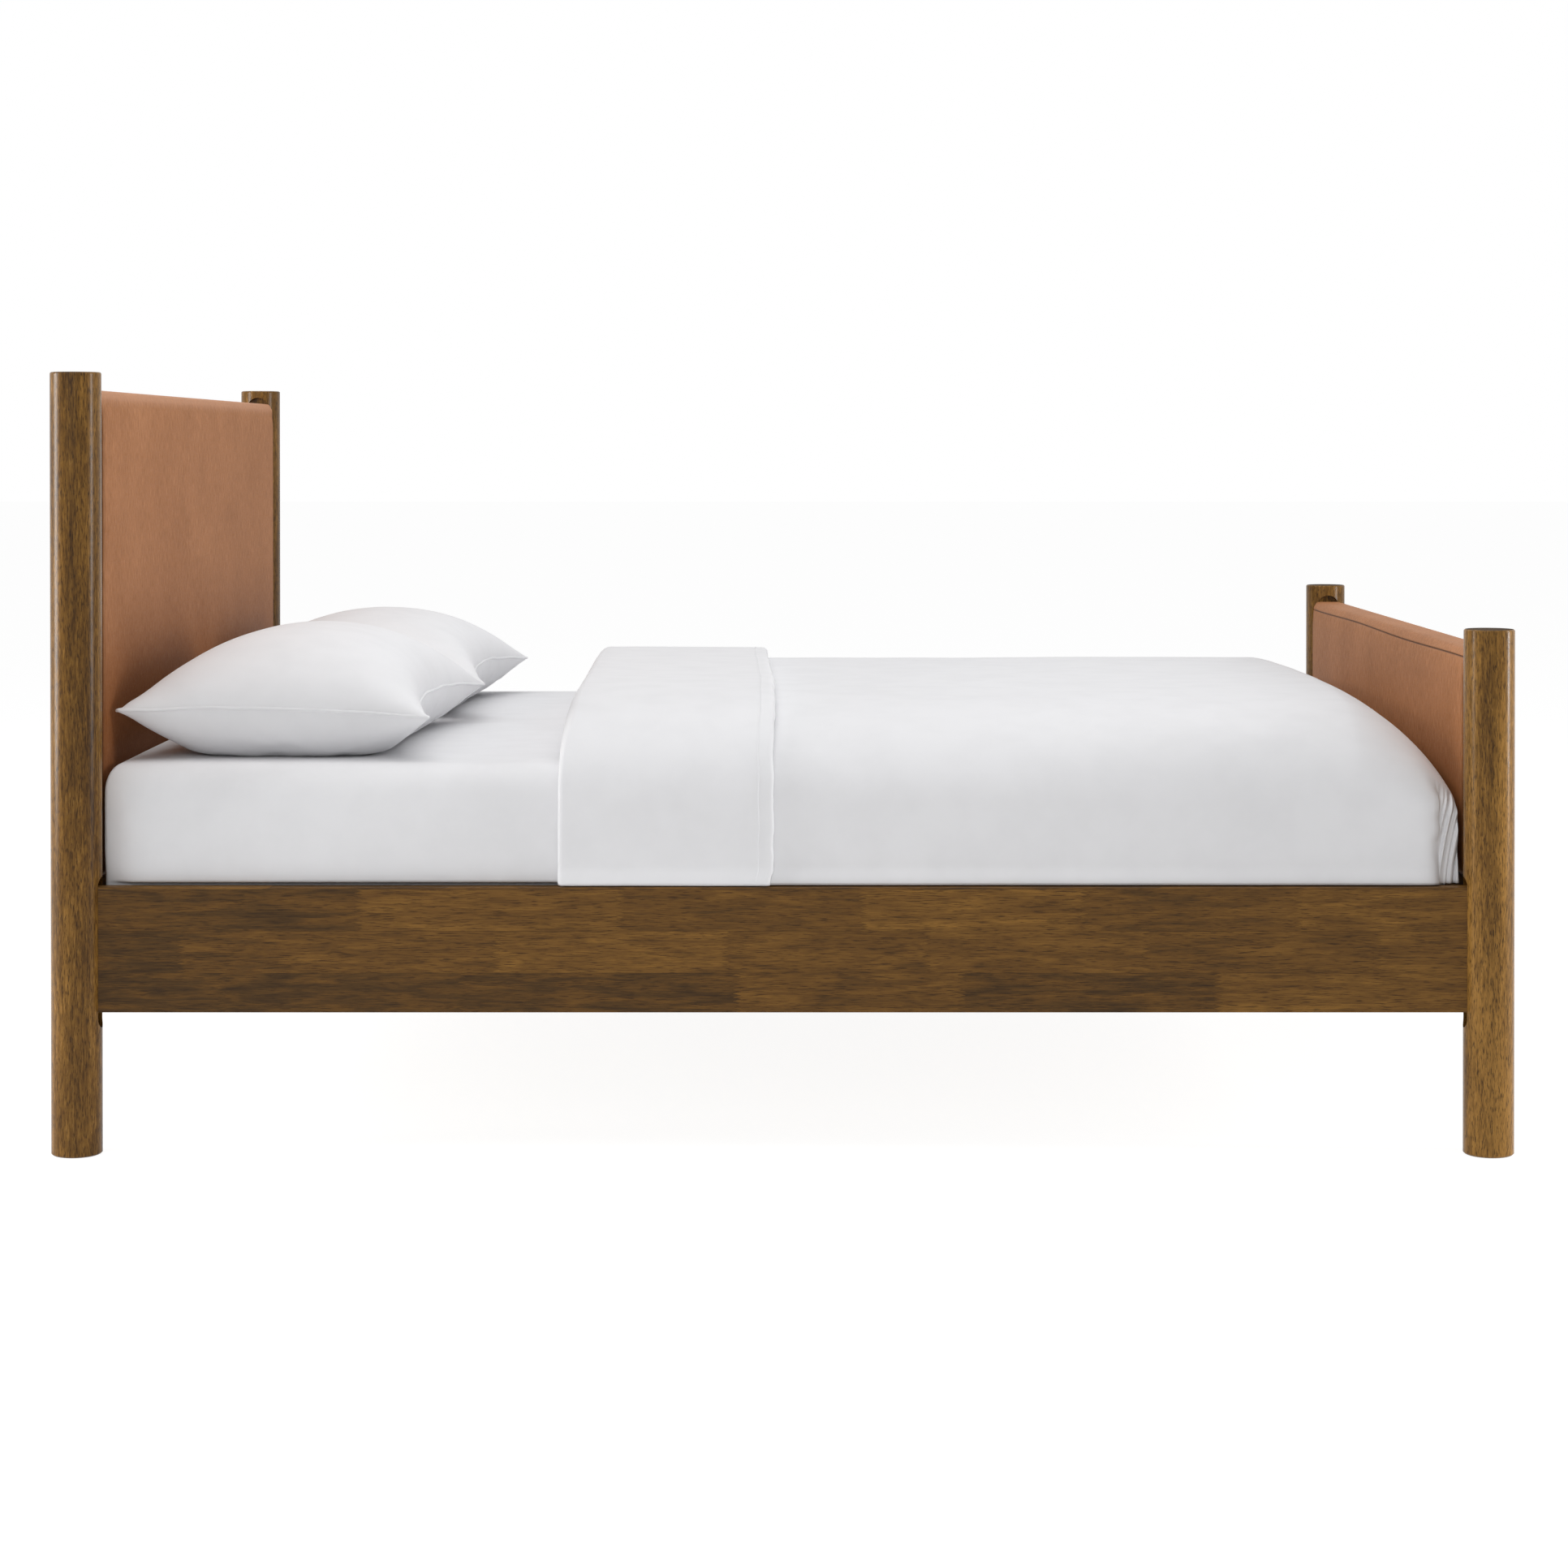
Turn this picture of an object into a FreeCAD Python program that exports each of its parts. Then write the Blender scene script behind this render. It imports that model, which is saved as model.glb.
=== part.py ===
import FreeCAD, Part
import math
import os
import re
import Sketcher

# Platform bed with four round posts, jointed side rails and padded leather panels,
# made up with a mattress, a duvet and two pillows.
# X runs along the bed with the head at minus X, Y across it, Z up from the floor.
# Left and right are those of someone who stands at the foot and looks at the head.

DOC = FreeCAD.newDocument("PlatformBed")
SHEET = DOC.addObject("Spreadsheet::Sheet", "Sizes")

# Sizes in millimetres, one sheet cell each
SIZES = {
    # Posts
    "post_diameter": 76,
    "head_post_height": 1176,
    "foot_post_height": 790,
    "post_top_round": 3,
    "post_foot_bevel": 2,
    "glide_diameter": 30,
    "glide_height": 5,
    "glide_proud": 1,
    "glide_fit": 0.1,
    # Side rails and the low cross rails, and the slots that house their ends
    "rail_bottom": 215,
    "rail_height": 188,
    "rail_thickness": 28,
    "rail_edge_round": 2,
    "seat_depth": 10,
    "seat_fit": 0.3,
    "seat_lead": 10,
    "rail_end_gap": 0.3,
    "tenon_thickness": 14,
    "tenon_height": 140,
    "tenon_length": 20,
    "tenon_fit": 0.2,
    # Bed-rail hook fittings
    "plate_width": 20,
    "plate_height": 150,
    "plate_thickness": 2.5,
    "plate_fit": 0.2,
    "hook_thickness": 3,
    "hook_neck": 14,
    "hook_nose": 8,
    "hook_nose_width": 4,
    "hook_spacing": 84,
    "hook_fit": 0.4,
    "plate_screw_diameter": 4,
    "plate_screw_length": 28,
    "plate_screw_head": 7.6,
    "plate_screw_outer": 65,
    "plate_screw_inner": 14,
    "screw_fit": 0.1,
    # Cleats, beam and hangers
    "cleat_width": 24,
    "cleat_height": 32,
    "cleat_end_gap": 20,
    "cleat_edge_round": 1.5,
    "cleat_screw_count": 7,
    "cleat_screw_inset": 75,
    "cleat_screw_diameter": 4.5,
    "cleat_screw_length": 42,
    "screw_head_diameter": 9,
    "screw_head_height": 3,
    "beam_width": 45,
    "beam_height": 92,
    "steel_gauge": 2.5,
    "hanger_depth": 46,
    "hanger_flange": 24,
    "hanger_height": 82,
    "hanger_fit": 0.3,
    "hanger_screw_diameter": 5,
    "hanger_screw_length": 22,
    # Slat deck
    "deck_drop": 72,
    "slat_count": 14,
    "slat_width": 72,
    "slat_thickness": 18,
    "slat_end_gap": 3,
    "slat_edge_round": 2,
    "slat_screw_length": 38,
    "webbing_width": 25,
    "webbing_thickness": 1.2,
    "webbing_offset": 430,
    # Leather panels
    "panel_thickness": 64,
    "head_panel_drop": 26,
    "foot_panel_drop": 32,
    "panel_lift": 6,
    "panel_edge_round": 15,
    "panel_low_round": 8,
    "panel_crown": 4,
    "leather_thickness": 1.6,
    "panel_post_gap": 1.6,
    "layer_fit": 0.2,
    "core_thickness": 40,
    "core_margin": 12,
    "core_stile": 90,
    "groove_depth": 12,
    "groove_fit": 0.5,
    "groove_show": 12.5,
    # Mattress of 60 by 80 inches, which sets the post spacing, and what lies on it
    "mattress_length": 2032,
    "mattress_width": 1524,
    "mattress_height": 254,
    "mattress_crown": 5,
    "mattress_edge": 38,
    "mattress_end_round": 32,
    "mattress_head_gap": 6,
    "mattress_side_gap": 11,
    "sheet_thickness": 0.8,
    "sheet_fit": 0.1,
    "sheet_return": 90,
    "duvet_fit": 0.4,
    "duvet_start": 686,
    "duvet_loft": 72,
    "duvet_crown": 7,
    "duvet_shoulder": 140,
    "duvet_roll": 120,
    "duvet_drop_thickness": 20,
    "duvet_foot_thickness": 13,
    "duvet_foot_room": 8.1,
    "duvet_foot_run": 165,
    "duvet_foot_drop": 62,
    "duvet_corner_round": 22,
    "duvet_hem_gap": 6,
    "cuff_width": 326,
    "cuff_thickness": 16,
    "cuff_side_thickness": 7,
    "cuff_nose_run": 40,
    "cuff_nose_drop": 58,
    "pillow_length": 700,
    "pillow_depth": 482,
    "pillow_seam": 64,
    "pillow_crown": 126,
    "pillow_pull": 12,
    "pillow_gap": 16,
    "pillow_head_gap": 8,
    "pillow_rest_gap": 0.3,
}


def fill_sheet():
    """Give each size a sheet cell of its own, under its name."""
    for row, (alias, number) in enumerate(SIZES.items(), 1):
        SHEET.set("A%d" % row, alias)
        SHEET.set("B%d" % row, str(number))
        SHEET.setAlias("B%d" % row, alias)
    DOC.recompute()


fill_sheet()


def bound(formula):
    """A formula written with bare size names, as a document expression."""
    return re.sub(r"[a-z_]+", lambda m: "Sizes." + m[0] if m[0] in SIZES else m[0], formula)


def num(formula):
    """The number a formula has now."""
    return float(SHEET.evalExpression(bound(formula)))


# Heights and distances that several pieces share
POST_R = "(post_diameter / 2)"
SHEET_LAYER = "(sheet_thickness + sheet_fit)"
FOOT_GAP = f"({SHEET_LAYER} + duvet_foot_thickness + duvet_foot_room)"
SPAN_X = f"(mattress_length + mattress_head_gap + {FOOT_GAP} + panel_thickness)"
SPAN_Y = "(mattress_width + 2 * mattress_side_gap + rail_thickness)"
HALF_X = f"({SPAN_X} / 2)"
HALF_Y = f"({SPAN_Y} / 2)"
SEAT_FLOOR = f"({POST_R} - seat_depth)"
RAIL_TOP = "(rail_bottom + rail_height)"
RAIL_MID = "(rail_bottom + rail_height / 2)"
RAIL_INNER_Y = f"({HALF_Y} - rail_thickness / 2)"
RAIL_INNER_X = f"({HALF_X} - rail_thickness / 2)"
SIDE_HALF = f"({HALF_X} - {SEAT_FLOOR} - rail_end_gap)"
CROSS_HALF = f"({HALF_Y} - {SEAT_FLOOR} - rail_end_gap)"
DECK = f"({RAIL_TOP} - deck_drop)"
SLAT_BOTTOM = f"({DECK} - slat_thickness)"
CLEAT_HALF = f"({SIDE_HALF} - cleat_end_gap)"
CLEAT_INNER_Y = f"({RAIL_INNER_Y} - cleat_width)"
HEAD_PANEL_TOP = "(head_post_height - head_panel_drop)"
FOOT_PANEL_TOP = "(foot_post_height - foot_panel_drop)"
PANEL_BOTTOM = f"({RAIL_TOP} + panel_lift)"
CORE_BOTTOM = f"({PANEL_BOTTOM} + leather_thickness + core_margin)"
PANEL_FACE = f"({HALF_X} - panel_thickness / 2)"
MATTRESS_LOW = f"({DECK} + {SHEET_LAYER})"
MATTRESS_TOP = f"({MATTRESS_LOW} + mattress_height)"
MATTRESS_HEAD = f"(-{PANEL_FACE} + mattress_head_gap)"
MATTRESS_FOOT = f"({MATTRESS_HEAD} + mattress_length)"
MATTRESS_MID = f"({MATTRESS_HEAD} + mattress_length / 2)"
BED_TOP = f"({MATTRESS_TOP} + {SHEET_LAYER})"

NORMAL_OF = {"XY": 1, "XZ": -1, "YZ": 1}


# Outlines: loops of corners; a corner with a centre starts an arc about that centre
def rect(x0, y0, x1, y1):
    """Rectangle loop from two opposite corners."""
    return [(x0, y0), (x1, y0), (x1, y1), (x0, y1)]


def stadium(half, low, high):
    """Upright slot loop with half-round ends about the heights low and high."""
    return [
        (f"({half})", low),
        (f"({half})", high, "0", high),
        (f"-({half})", high),
        (f"-({half})", low, "0", low),
    ]


def crowned(half, bottom, top, rise, r_top, r_low, grow="0"):
    """Cushion section: flat base, round corners and a top that crowns between them."""
    arch = f"(({half}) ^ 2 + ({rise}) ^ 2) / (2 * ({rise}))"
    mid = f"(({top}) - {arch})"
    wide, base = f"({half} + {grow})", f"({bottom} - {grow})"
    big, rt, rl = f"({arch} + {grow})", f"({r_top} + {grow})", f"({r_low} + {grow})"
    inner_x = f"({wide} - {rt})"
    inner_y = f"({mid} + sqrt(({big} - {rt}) ^ 2 - {inner_x} ^ 2))"
    ratio = f"({big} / ({big} - {rt}))"
    touch_x = f"({inner_x} * {ratio})"
    touch_y = f"({mid} + ({inner_y} - {mid}) * {ratio})"
    low_x, low_y = f"({wide} - {rl})", f"({base} + {rl})"
    return [
        (f"-{low_x}", base),
        (low_x, base, low_x, low_y),
        (wide, low_y),
        (wide, inner_y, inner_x, inner_y),
        (touch_x, touch_y, "0", mid),
        (f"-{touch_x}", touch_y, f"-{inner_x}", inner_y),
        (f"-{wide}", inner_y),
        (f"-{wide}", low_y, f"-{low_x}", low_y),
    ]


def vec(x, y):
    return FreeCAD.Vector(num(x), num(y), 0)


def draw_segment(sketch, start, end):
    """One line or counter-clockwise arc from a corner to the next."""
    a, b = vec(start[0], start[1]), vec(end[0], end[1])
    if len(start) == 2:
        return sketch.addGeometry(Part.LineSegment(a, b))
    c = vec(start[2], start[3])
    first = math.atan2(a.y - c.y, a.x - c.x)
    last = math.atan2(b.y - c.y, b.x - c.x)
    circle = Part.Circle(c, FreeCAD.Vector(0, 0, 1), a.distanceToPoint(c))
    return sketch.addGeometry(Part.ArcOfCircle(circle, first, last))


def pin(sketch, geo, point, x, y):
    """Hold a sketch point at two formulas; an empty one leaves that direction free."""
    for kind, formula in (("DistanceX", x), ("DistanceY", y)):
        if formula:
            at = sketch.addConstraint(Sketcher.Constraint(kind, geo, point, num(formula)))
            sketch.setExpression("Constraints[%d]" % at, bound(formula))


def draw_loop(sketch, loop):
    """A closed loop whose corners and arc centres follow their formulas."""
    ids = [draw_segment(sketch, loop[i], loop[(i + 1) % len(loop)]) for i in range(len(loop))]
    for i, corner in enumerate(loop):
        after = ids[(i + 1) % len(loop)]
        sketch.addConstraint(Sketcher.Constraint("Coincident", ids[i], 2, after, 1))
        pin(sketch, ids[i], 1, corner[0], corner[1])
        if len(corner) == 4:
            nxt = loop[(i + 1) % len(loop)]
            chord = vec(nxt[0], nxt[1]) - vec(corner[0], corner[1])
            upright = abs(chord.x) >= abs(chord.y)
            pin(sketch, ids[i], 3, "" if upright else corner[2], corner[3] if upright else "")


def draw_circle(sketch, x, y, radius):
    """A circle whose centre and radius follow their formulas."""
    flat = FreeCAD.Vector(0, 0, 1)
    geo = sketch.addGeometry(Part.Circle(vec(x, y), flat, num(radius)))
    pin(sketch, geo, 3, x, y)
    at = sketch.addConstraint(Sketcher.Constraint("Radius", geo, num(radius)))
    sketch.setExpression("Constraints[%d]" % at, bound(radius))


def place(piece, x="0", y="0", z="0", turn=0):
    """Stand a piece at a point that follows its formulas, turned about Z."""
    piece.Placement = FreeCAD.Placement(
        FreeCAD.Vector(num(x), num(y), num(z)), FreeCAD.Rotation(FreeCAD.Vector(0, 0, 1), turn))
    for axis, formula in (("x", x), ("y", y), ("z", z)):
        piece.setExpression("Placement.Base." + axis, bound(formula))


def new_body(name):
    body = DOC.addObject("PartDesign::Body", name)
    body.Label = name
    return body


def sketch_on(body, plane, at, loops=(), circles=()):
    """A sketch on one of the body's own planes, shifted along it to a formula."""
    sketch = body.newObject("Sketcher::SketchObject", body.Name + "_sketch")
    role = plane + "_Plane"
    support = [f for f in body.Origin.OriginFeatures if f.Role == role][0]
    sketch.AttachmentSupport = [(support, "")]
    sketch.MapMode = "FlatFace"
    sign = "" if NORMAL_OF[plane] > 0 else "-"
    sketch.setExpression("AttachmentOffset.Base.z", bound(f"{sign}({at})"))
    for loop in loops:
        draw_loop(sketch, loop)
    for circle in circles:
        draw_circle(sketch, *circle)
    return sketch


def pad(body, plane, at, length, toward, loops=(), circles=()):
    """Add material from a sketch, along plus or minus its axis, or both for 0."""
    sketch = sketch_on(body, plane, at, loops, circles)
    feature = body.newObject("PartDesign::Pad", body.Name + "_pad")
    feature.Profile = sketch
    if toward == 0:
        feature.SideType = "Symmetric"
    else:
        feature.Reversed = toward != NORMAL_OF[plane]
    feature.setExpression("Length", bound(length))
    DOC.recompute()
    return feature


def pocket(body, plane, at, length, toward, loops=(), circles=()):
    """Take material away from a sketch, along plus or minus its axis."""
    sketch = sketch_on(body, plane, at, loops, circles)
    feature = body.newObject("PartDesign::Pocket", body.Name + "_pocket")
    feature.Profile = sketch
    feature.Reversed = toward == NORMAL_OF[plane]
    feature.setExpression("Length", bound(length))
    DOC.recompute()
    return feature


def edge_names(feature, wanted):
    """Names of the feature's edges that a test accepts."""
    return ["Edge%d" % (i + 1) for i, e in enumerate(feature.Shape.Edges) if wanted(e)]


def soften(body, feature, wanted, radius, kind="Fillet"):
    """Round or bevel the edges that a test accepts."""
    dress = body.newObject("PartDesign::" + kind, body.Name + "_" + kind.lower())
    dress.Base = (feature, edge_names(feature, wanted))
    dress.setExpression("Radius" if kind == "Fillet" else "Size", bound(radius))
    DOC.recompute()
    return dress


def runs_along(axis):
    """Test for straight edges that run along an axis."""
    def test(edge):
        if edge.Curve.TypeId != "Part::GeomLine":
            return False
        return abs(getattr(edge.tangentAt(edge.FirstParameter), axis)) > 0.999
    return test


def round_at(axis, value):
    """Test for whole circles that lie at one height along an axis."""
    def test(edge):
        if edge.Curve.TypeId != "Part::GeomCircle" or not edge.isClosed():
            return False
        return abs(getattr(edge.Curve.Center, axis) - value) < 0.01
    return test


def signed(sign, formula):
    return formula if sign > 0 else f"-({formula})"


# Posts: round, with a slot for each rail, a groove for the panel and a glide recess
def plate_holes():
    """Heights of the four screws of a hook fitting."""
    return [f"{RAIL_MID} {s} {o}" for s in "+-" for o in ("plate_screw_outer", "plate_screw_inner")]


def hook_heights():
    return [f"({RAIL_MID} + hook_spacing / 2)", f"({RAIL_MID} - hook_spacing / 2)"]


def make_post(name, sx, sy, height, panel_top):
    """One post; sx and sy say which way the inside of the bed lies from it."""
    body = new_body(name)
    solid = pad(body, "XY", "glide_proud", f"{height} - glide_proud", 1, circles=[("0", "0", POST_R)])
    top = soften(body, solid, round_at("z", num(height)), "post_top_round")
    soften(body, top, round_at("z", num("glide_proud")), "post_foot_bevel", "Chamfer")
    slot = stadium("rail_thickness / 2 + seat_fit", "(rail_bottom - seat_lead)", RAIL_TOP)
    pocket(body, "YZ", signed(sx, SEAT_FLOOR), "post_diameter", sx, [slot])
    pocket(body, "XZ", signed(sy, SEAT_FLOOR), "post_diameter", sy, [slot])
    plate = stadium("plate_width / 2 + plate_fit", f"({RAIL_MID} - plate_height / 2 + plate_width / 2)",
                    f"({RAIL_MID} + plate_height / 2 - plate_width / 2)")
    plate_floor = f"({SEAT_FLOOR} - plate_thickness)"
    pocket(body, "YZ", signed(sx, plate_floor), "post_diameter", sx, [plate])
    reach = "(hook_fit + hook_nose_width + 2)"
    wide, swing = "(hook_thickness / 2 + 1.5)", "(hook_neck / 2 + hook_nose + 2)"
    wells = [rect(f"-{wide}", f"{z} - {swing}", wide, f"{z} + {swing}") for z in hook_heights()]
    pocket(body, "YZ", signed(sx, f"{plate_floor} - {reach}"), "post_diameter", sx, wells)
    bore = "plate_screw_diameter / 2 + screw_fit"
    deep = f"{SEAT_FLOOR} - plate_screw_length - 1"
    pocket(body, "YZ", signed(sx, deep), "plate_screw_length", sx,
           circles=[("0", z, bore) for z in plate_holes()])
    half, tall = "(tenon_thickness / 2 + tenon_fit)", "(tenon_height / 2 + tenon_fit)"
    mortise = rect(f"-{half}", f"{RAIL_MID} - {tall}", half, f"{RAIL_MID} + {tall}")
    pocket(body, "XZ", signed(sy, f"{SEAT_FLOOR} - tenon_length - 1"), "post_diameter", sy, [mortise])
    groove_half = "(core_thickness / 2 + groove_fit)"
    groove = stadium(groove_half, f"({CORE_BOTTOM} + {groove_half})",
                     f"({panel_top} + groove_show - {groove_half})")
    foot_end = rect(f"-{groove_half}", f"{CORE_BOTTOM} - groove_fit", groove_half,
                    f"{CORE_BOTTOM} + 2 * {groove_half}")
    pocket(body, "XZ", signed(sy, f"{POST_R} - groove_depth"), "post_diameter", sy, [groove])
    pocket(body, "XZ", signed(sy, f"{POST_R} - groove_depth"), "post_diameter", sy, [foot_end])
    pocket(body, "XY", "0", "glide_height + glide_fit", 1,
           circles=[("0", "0", "glide_diameter / 2 + glide_fit")])
    place(body, signed(-sx, HALF_X), signed(-sy, HALF_Y))
    return body


def make_glide(name, sx, sy):
    """Round plastic glide let into the foot of a post."""
    body = new_body(name)
    disc = pad(body, "XY", "0", "glide_height", 1, circles=[("0", "0", "glide_diameter / 2")])
    soften(body, disc, round_at("z", 0), "glide_proud / 2", "Chamfer")
    place(body, signed(-sx, HALF_X), signed(-sy, HALF_Y))
    return body


# Rails
def cleat_screw_xs():
    """Where the cleat screws stand along the bed."""
    count = int(num("cleat_screw_count"))
    first = f"({CLEAT_HALF} - cleat_screw_inset)"
    return [f"{first} * {2 * i / (count - 1) - 1:.6f}" for i in range(count)]


CLEAT_SCREW_Z = f"({SLAT_BOTTOM} - cleat_height / 2)"


def make_side_rail(name, side):
    """Long rail with a recess for a hook plate in each end."""
    body = new_body(name)
    half = "rail_thickness / 2"
    solid = pad(body, "YZ", "0", f"2 * {SIDE_HALF}", 0,
                [rect(f"-{half}", "rail_bottom", half, RAIL_TOP)])
    soften(body, solid, runs_along("x"), "rail_edge_round")
    plate = stadium("plate_width / 2 + plate_fit", f"({RAIL_MID} - plate_height / 2 + plate_width / 2)",
                    f"({RAIL_MID} + plate_height / 2 - plate_width / 2)")
    bores = [("0", z, "plate_screw_diameter / 2 + screw_fit") for z in plate_holes()]
    for end in (1, -1):
        pocket(body, "YZ", signed(end, f"{SIDE_HALF} - plate_thickness"), "plate_thickness + 1", end, [plate])
        pocket(body, "YZ", signed(end, f"{SIDE_HALF} - plate_screw_length - 1"), "plate_screw_length", end,
               circles=bores)
    inner = signed(-side, "rail_thickness / 2")
    pilots = [(x, CLEAT_SCREW_Z, "cleat_screw_diameter / 2 + screw_fit") for x in cleat_screw_xs()]
    pocket(body, "XZ", inner, "cleat_screw_length - cleat_width + 1", side, circles=pilots)
    place(body, y=signed(side, HALF_Y))
    return body


def make_cross_rail(name, end):
    """Low rail across the bed, with a tenon on each end and pilot holes for its hanger."""
    body = new_body(name)
    half, thin = "rail_thickness / 2", "tenon_thickness / 2"
    solid = pad(body, "XZ", "0", f"2 * {CROSS_HALF}", 0, [rect(f"-{half}", "rail_bottom", half, RAIL_TOP)])
    soften(body, solid, runs_along("y"), "rail_edge_round")
    low, high = f"{RAIL_MID} - tenon_height / 2", f"{RAIL_MID} + tenon_height / 2"
    pad(body, "XZ", "0", f"2 * ({CROSS_HALF} + tenon_length)", 0, [rect(f"-{thin}", low, thin, high)])
    pilots = [(y, z, "hanger_screw_diameter / 2 + screw_fit") for y, z in hanger_screws()]
    pocket(body, "YZ", signed(-end, "rail_thickness / 2"), "hanger_screw_length + 1", end, circles=pilots)
    place(body, x=signed(end, HALF_X))
    return body


# Hook fittings
def plate_outline():
    low = f"({RAIL_MID} - plate_height / 2 + plate_width / 2)"
    high = f"({RAIL_MID} + plate_height / 2 - plate_width / 2)"
    return stadium("plate_width / 2", low, high)


def sink_holes(body, at, face, toward):
    """Four screw holes through a plate, countersunk on one face."""
    bores = [("0", z, "plate_screw_diameter / 2 + screw_fit") for z in plate_holes()]
    holes = pocket(body, "YZ", at, "plate_thickness + 1", toward, circles=bores)
    soften(body, holes, round_at("x", num(face)),
           "(plate_screw_head - plate_screw_diameter) / 2", "Chamfer")


def make_post_plate(name, end, side):
    """Slotted steel plate, its show face flush with the floor of the rail slot."""
    body = new_body(name)
    pad(body, "YZ", "0", "plate_thickness", -1, [plate_outline()])
    wide = "(hook_thickness / 2 + hook_fit)"
    slots = [rect(f"-{wide}", f"{z} - hook_neck / 2 - hook_fit", wide, f"{z} + hook_neck / 2 + hook_nose + 1")
             for z in hook_heights()]
    pocket(body, "YZ", "0", "plate_thickness + 1", -1, slots)
    sink_holes(body, "0", "0", -1)
    x = signed(end, f"{HALF_X} - {SEAT_FLOOR}")
    place(body, x, signed(side, HALF_Y), turn=0 if end < 0 else 180)
    return body


def make_hook_plate(name, end, side):
    """Steel plate in the end of a side rail, with two hooks that drop behind the post plate."""
    body = new_body(name)
    pad(body, "YZ", "0", "plate_thickness", 1, [plate_outline()])
    sink_holes(body, "0", "0", 1)
    back = "(rail_end_gap + plate_thickness + hook_fit)"
    tip = f"({back} + hook_nose_width)"
    for z in hook_heights():
        low, high = f"({z} - hook_neck / 2)", f"({z} + hook_neck / 2)"
        nose = f"({low} - hook_nose)"
        loop = [(f"-{tip}", nose), (f"-{back}", nose), (f"-{back}", low), ("plate_thickness / 2", low),
                ("plate_thickness / 2", high), (f"-{tip}", high)]
        pad(body, "XZ", "0", "hook_thickness", 0, [loop])
    place(body, signed(end, SIDE_HALF), signed(side, HALF_Y), turn=0 if end < 0 else 180)
    return body


# Screws of one kind share one piece of several solids
def screw_solid(diameter, length, head, head_height, flat):
    """A screw along minus Z with the top of its head at the origin."""
    if flat:
        cone = (head - diameter) / 2
        top = Part.makeCone(diameter / 2, head / 2, cone, FreeCAD.Vector(0, 0, -cone))
        start = -cone
    else:
        top = Part.makeCylinder(head / 2, head_height, FreeCAD.Vector(0, 0, -head_height))
        start = -head_height
    tip = diameter
    end = -length if flat else -length - head_height
    shank = Part.makeCylinder(diameter / 2, start - end - tip, FreeCAD.Vector(0, 0, end + tip))
    point = Part.makeCone(diameter / 8, diameter / 2, tip, FreeCAD.Vector(0, 0, end))
    return top.fuse(shank).fuse(point).removeSplitter()


def screw_group(name, solid, spots):
    """Copies of a screw; each spot is the head point and the way the head faces."""
    copies = []
    for x, y, z, facing in spots:
        turn = FreeCAD.Rotation(FreeCAD.Vector(0, 0, 1), FreeCAD.Vector(*facing))
        one = solid.copy()
        one.Placement = FreeCAD.Placement(FreeCAD.Vector(x, y, z), turn)
        copies.append(one)
    group = DOC.addObject("Part::Feature", name)
    group.Label = name
    group.Shape = Part.makeCompound(copies)
    return group


def make_plate_screws():
    """Flat-head screws of the post plates and of the rail hook plates."""
    sizes = [num("plate_screw_" + key) for key in ("diameter", "length", "head")]
    solid = screw_solid(sizes[0], sizes[1], sizes[2], 0, True)
    ys, zs = num(HALF_Y), [num(z) for z in plate_holes()]
    into_post, into_rail = [], []
    for end in (-1, 1):
        for side in (-1, 1):
            for z in zs:
                into_post.append((end * num(f"{HALF_X} - {SEAT_FLOOR}"), side * ys, z, (-end, 0, 0)))
                into_rail.append((end * num(SIDE_HALF), side * ys, z, (end, 0, 0)))
    return [screw_group("post_plate_screws", solid, into_post),
            screw_group("hook_plate_screws", solid, into_rail)]


def make_cleat_screws():
    """Pan-head screws that hold both cleats to the side rails."""
    solid = screw_solid(num("cleat_screw_diameter"), num("cleat_screw_length"),
                        num("screw_head_diameter"), num("screw_head_height"), False)
    y = num(f"{CLEAT_INNER_Y} - screw_head_height")
    spots = [(num(x), side * y, num(CLEAT_SCREW_Z), (0, -side, 0))
             for side in (-1, 1) for x in cleat_screw_xs()]
    return screw_group("cleat_screws", solid, spots)


def hanger_screws():
    """Where the four screws of a hanger stand, across and up."""
    y = "(beam_width / 2 + hanger_fit + steel_gauge + hanger_flange / 2)"
    base = f"({SLAT_BOTTOM} - beam_height - steel_gauge)"
    low, high = f"({base} + hanger_height / 4)", f"({base} + hanger_height * 3 / 4)"
    return [(s + y, z) for s in ("", "-") for z in (low, high)]


def make_hanger_screws():
    """Pan-head screws of both beam hangers."""
    solid = screw_solid(num("hanger_screw_diameter"), num("hanger_screw_length"),
                        num("screw_head_diameter"), num("screw_head_height"), False)
    x = num(f"{RAIL_INNER_X} - steel_gauge - screw_head_height")
    spots = [(end * x, num(y), num(z), (-end, 0, 0)) for end in (-1, 1) for y, z in hanger_screws()]
    return screw_group("hanger_screws", solid, spots)


SLAT_SCREW_Y = f"({RAIL_INNER_Y} - cleat_width / 2)"


def make_slat_screws():
    """Flat-head screws that hold the first and the last slat down on the cleats."""
    sizes = [num("plate_screw_diameter"), num("slat_screw_length"), num("plate_screw_head")]
    solid = screw_solid(sizes[0], sizes[1], sizes[2], 0, True)
    spots = [(num(slat_x(i)), side * num(SLAT_SCREW_Y), num(DECK), (0, 0, 1))
             for i in (0, int(num("slat_count")) - 1) for side in (-1, 1)]
    return screw_group("slat_screws", solid, spots)


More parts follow.
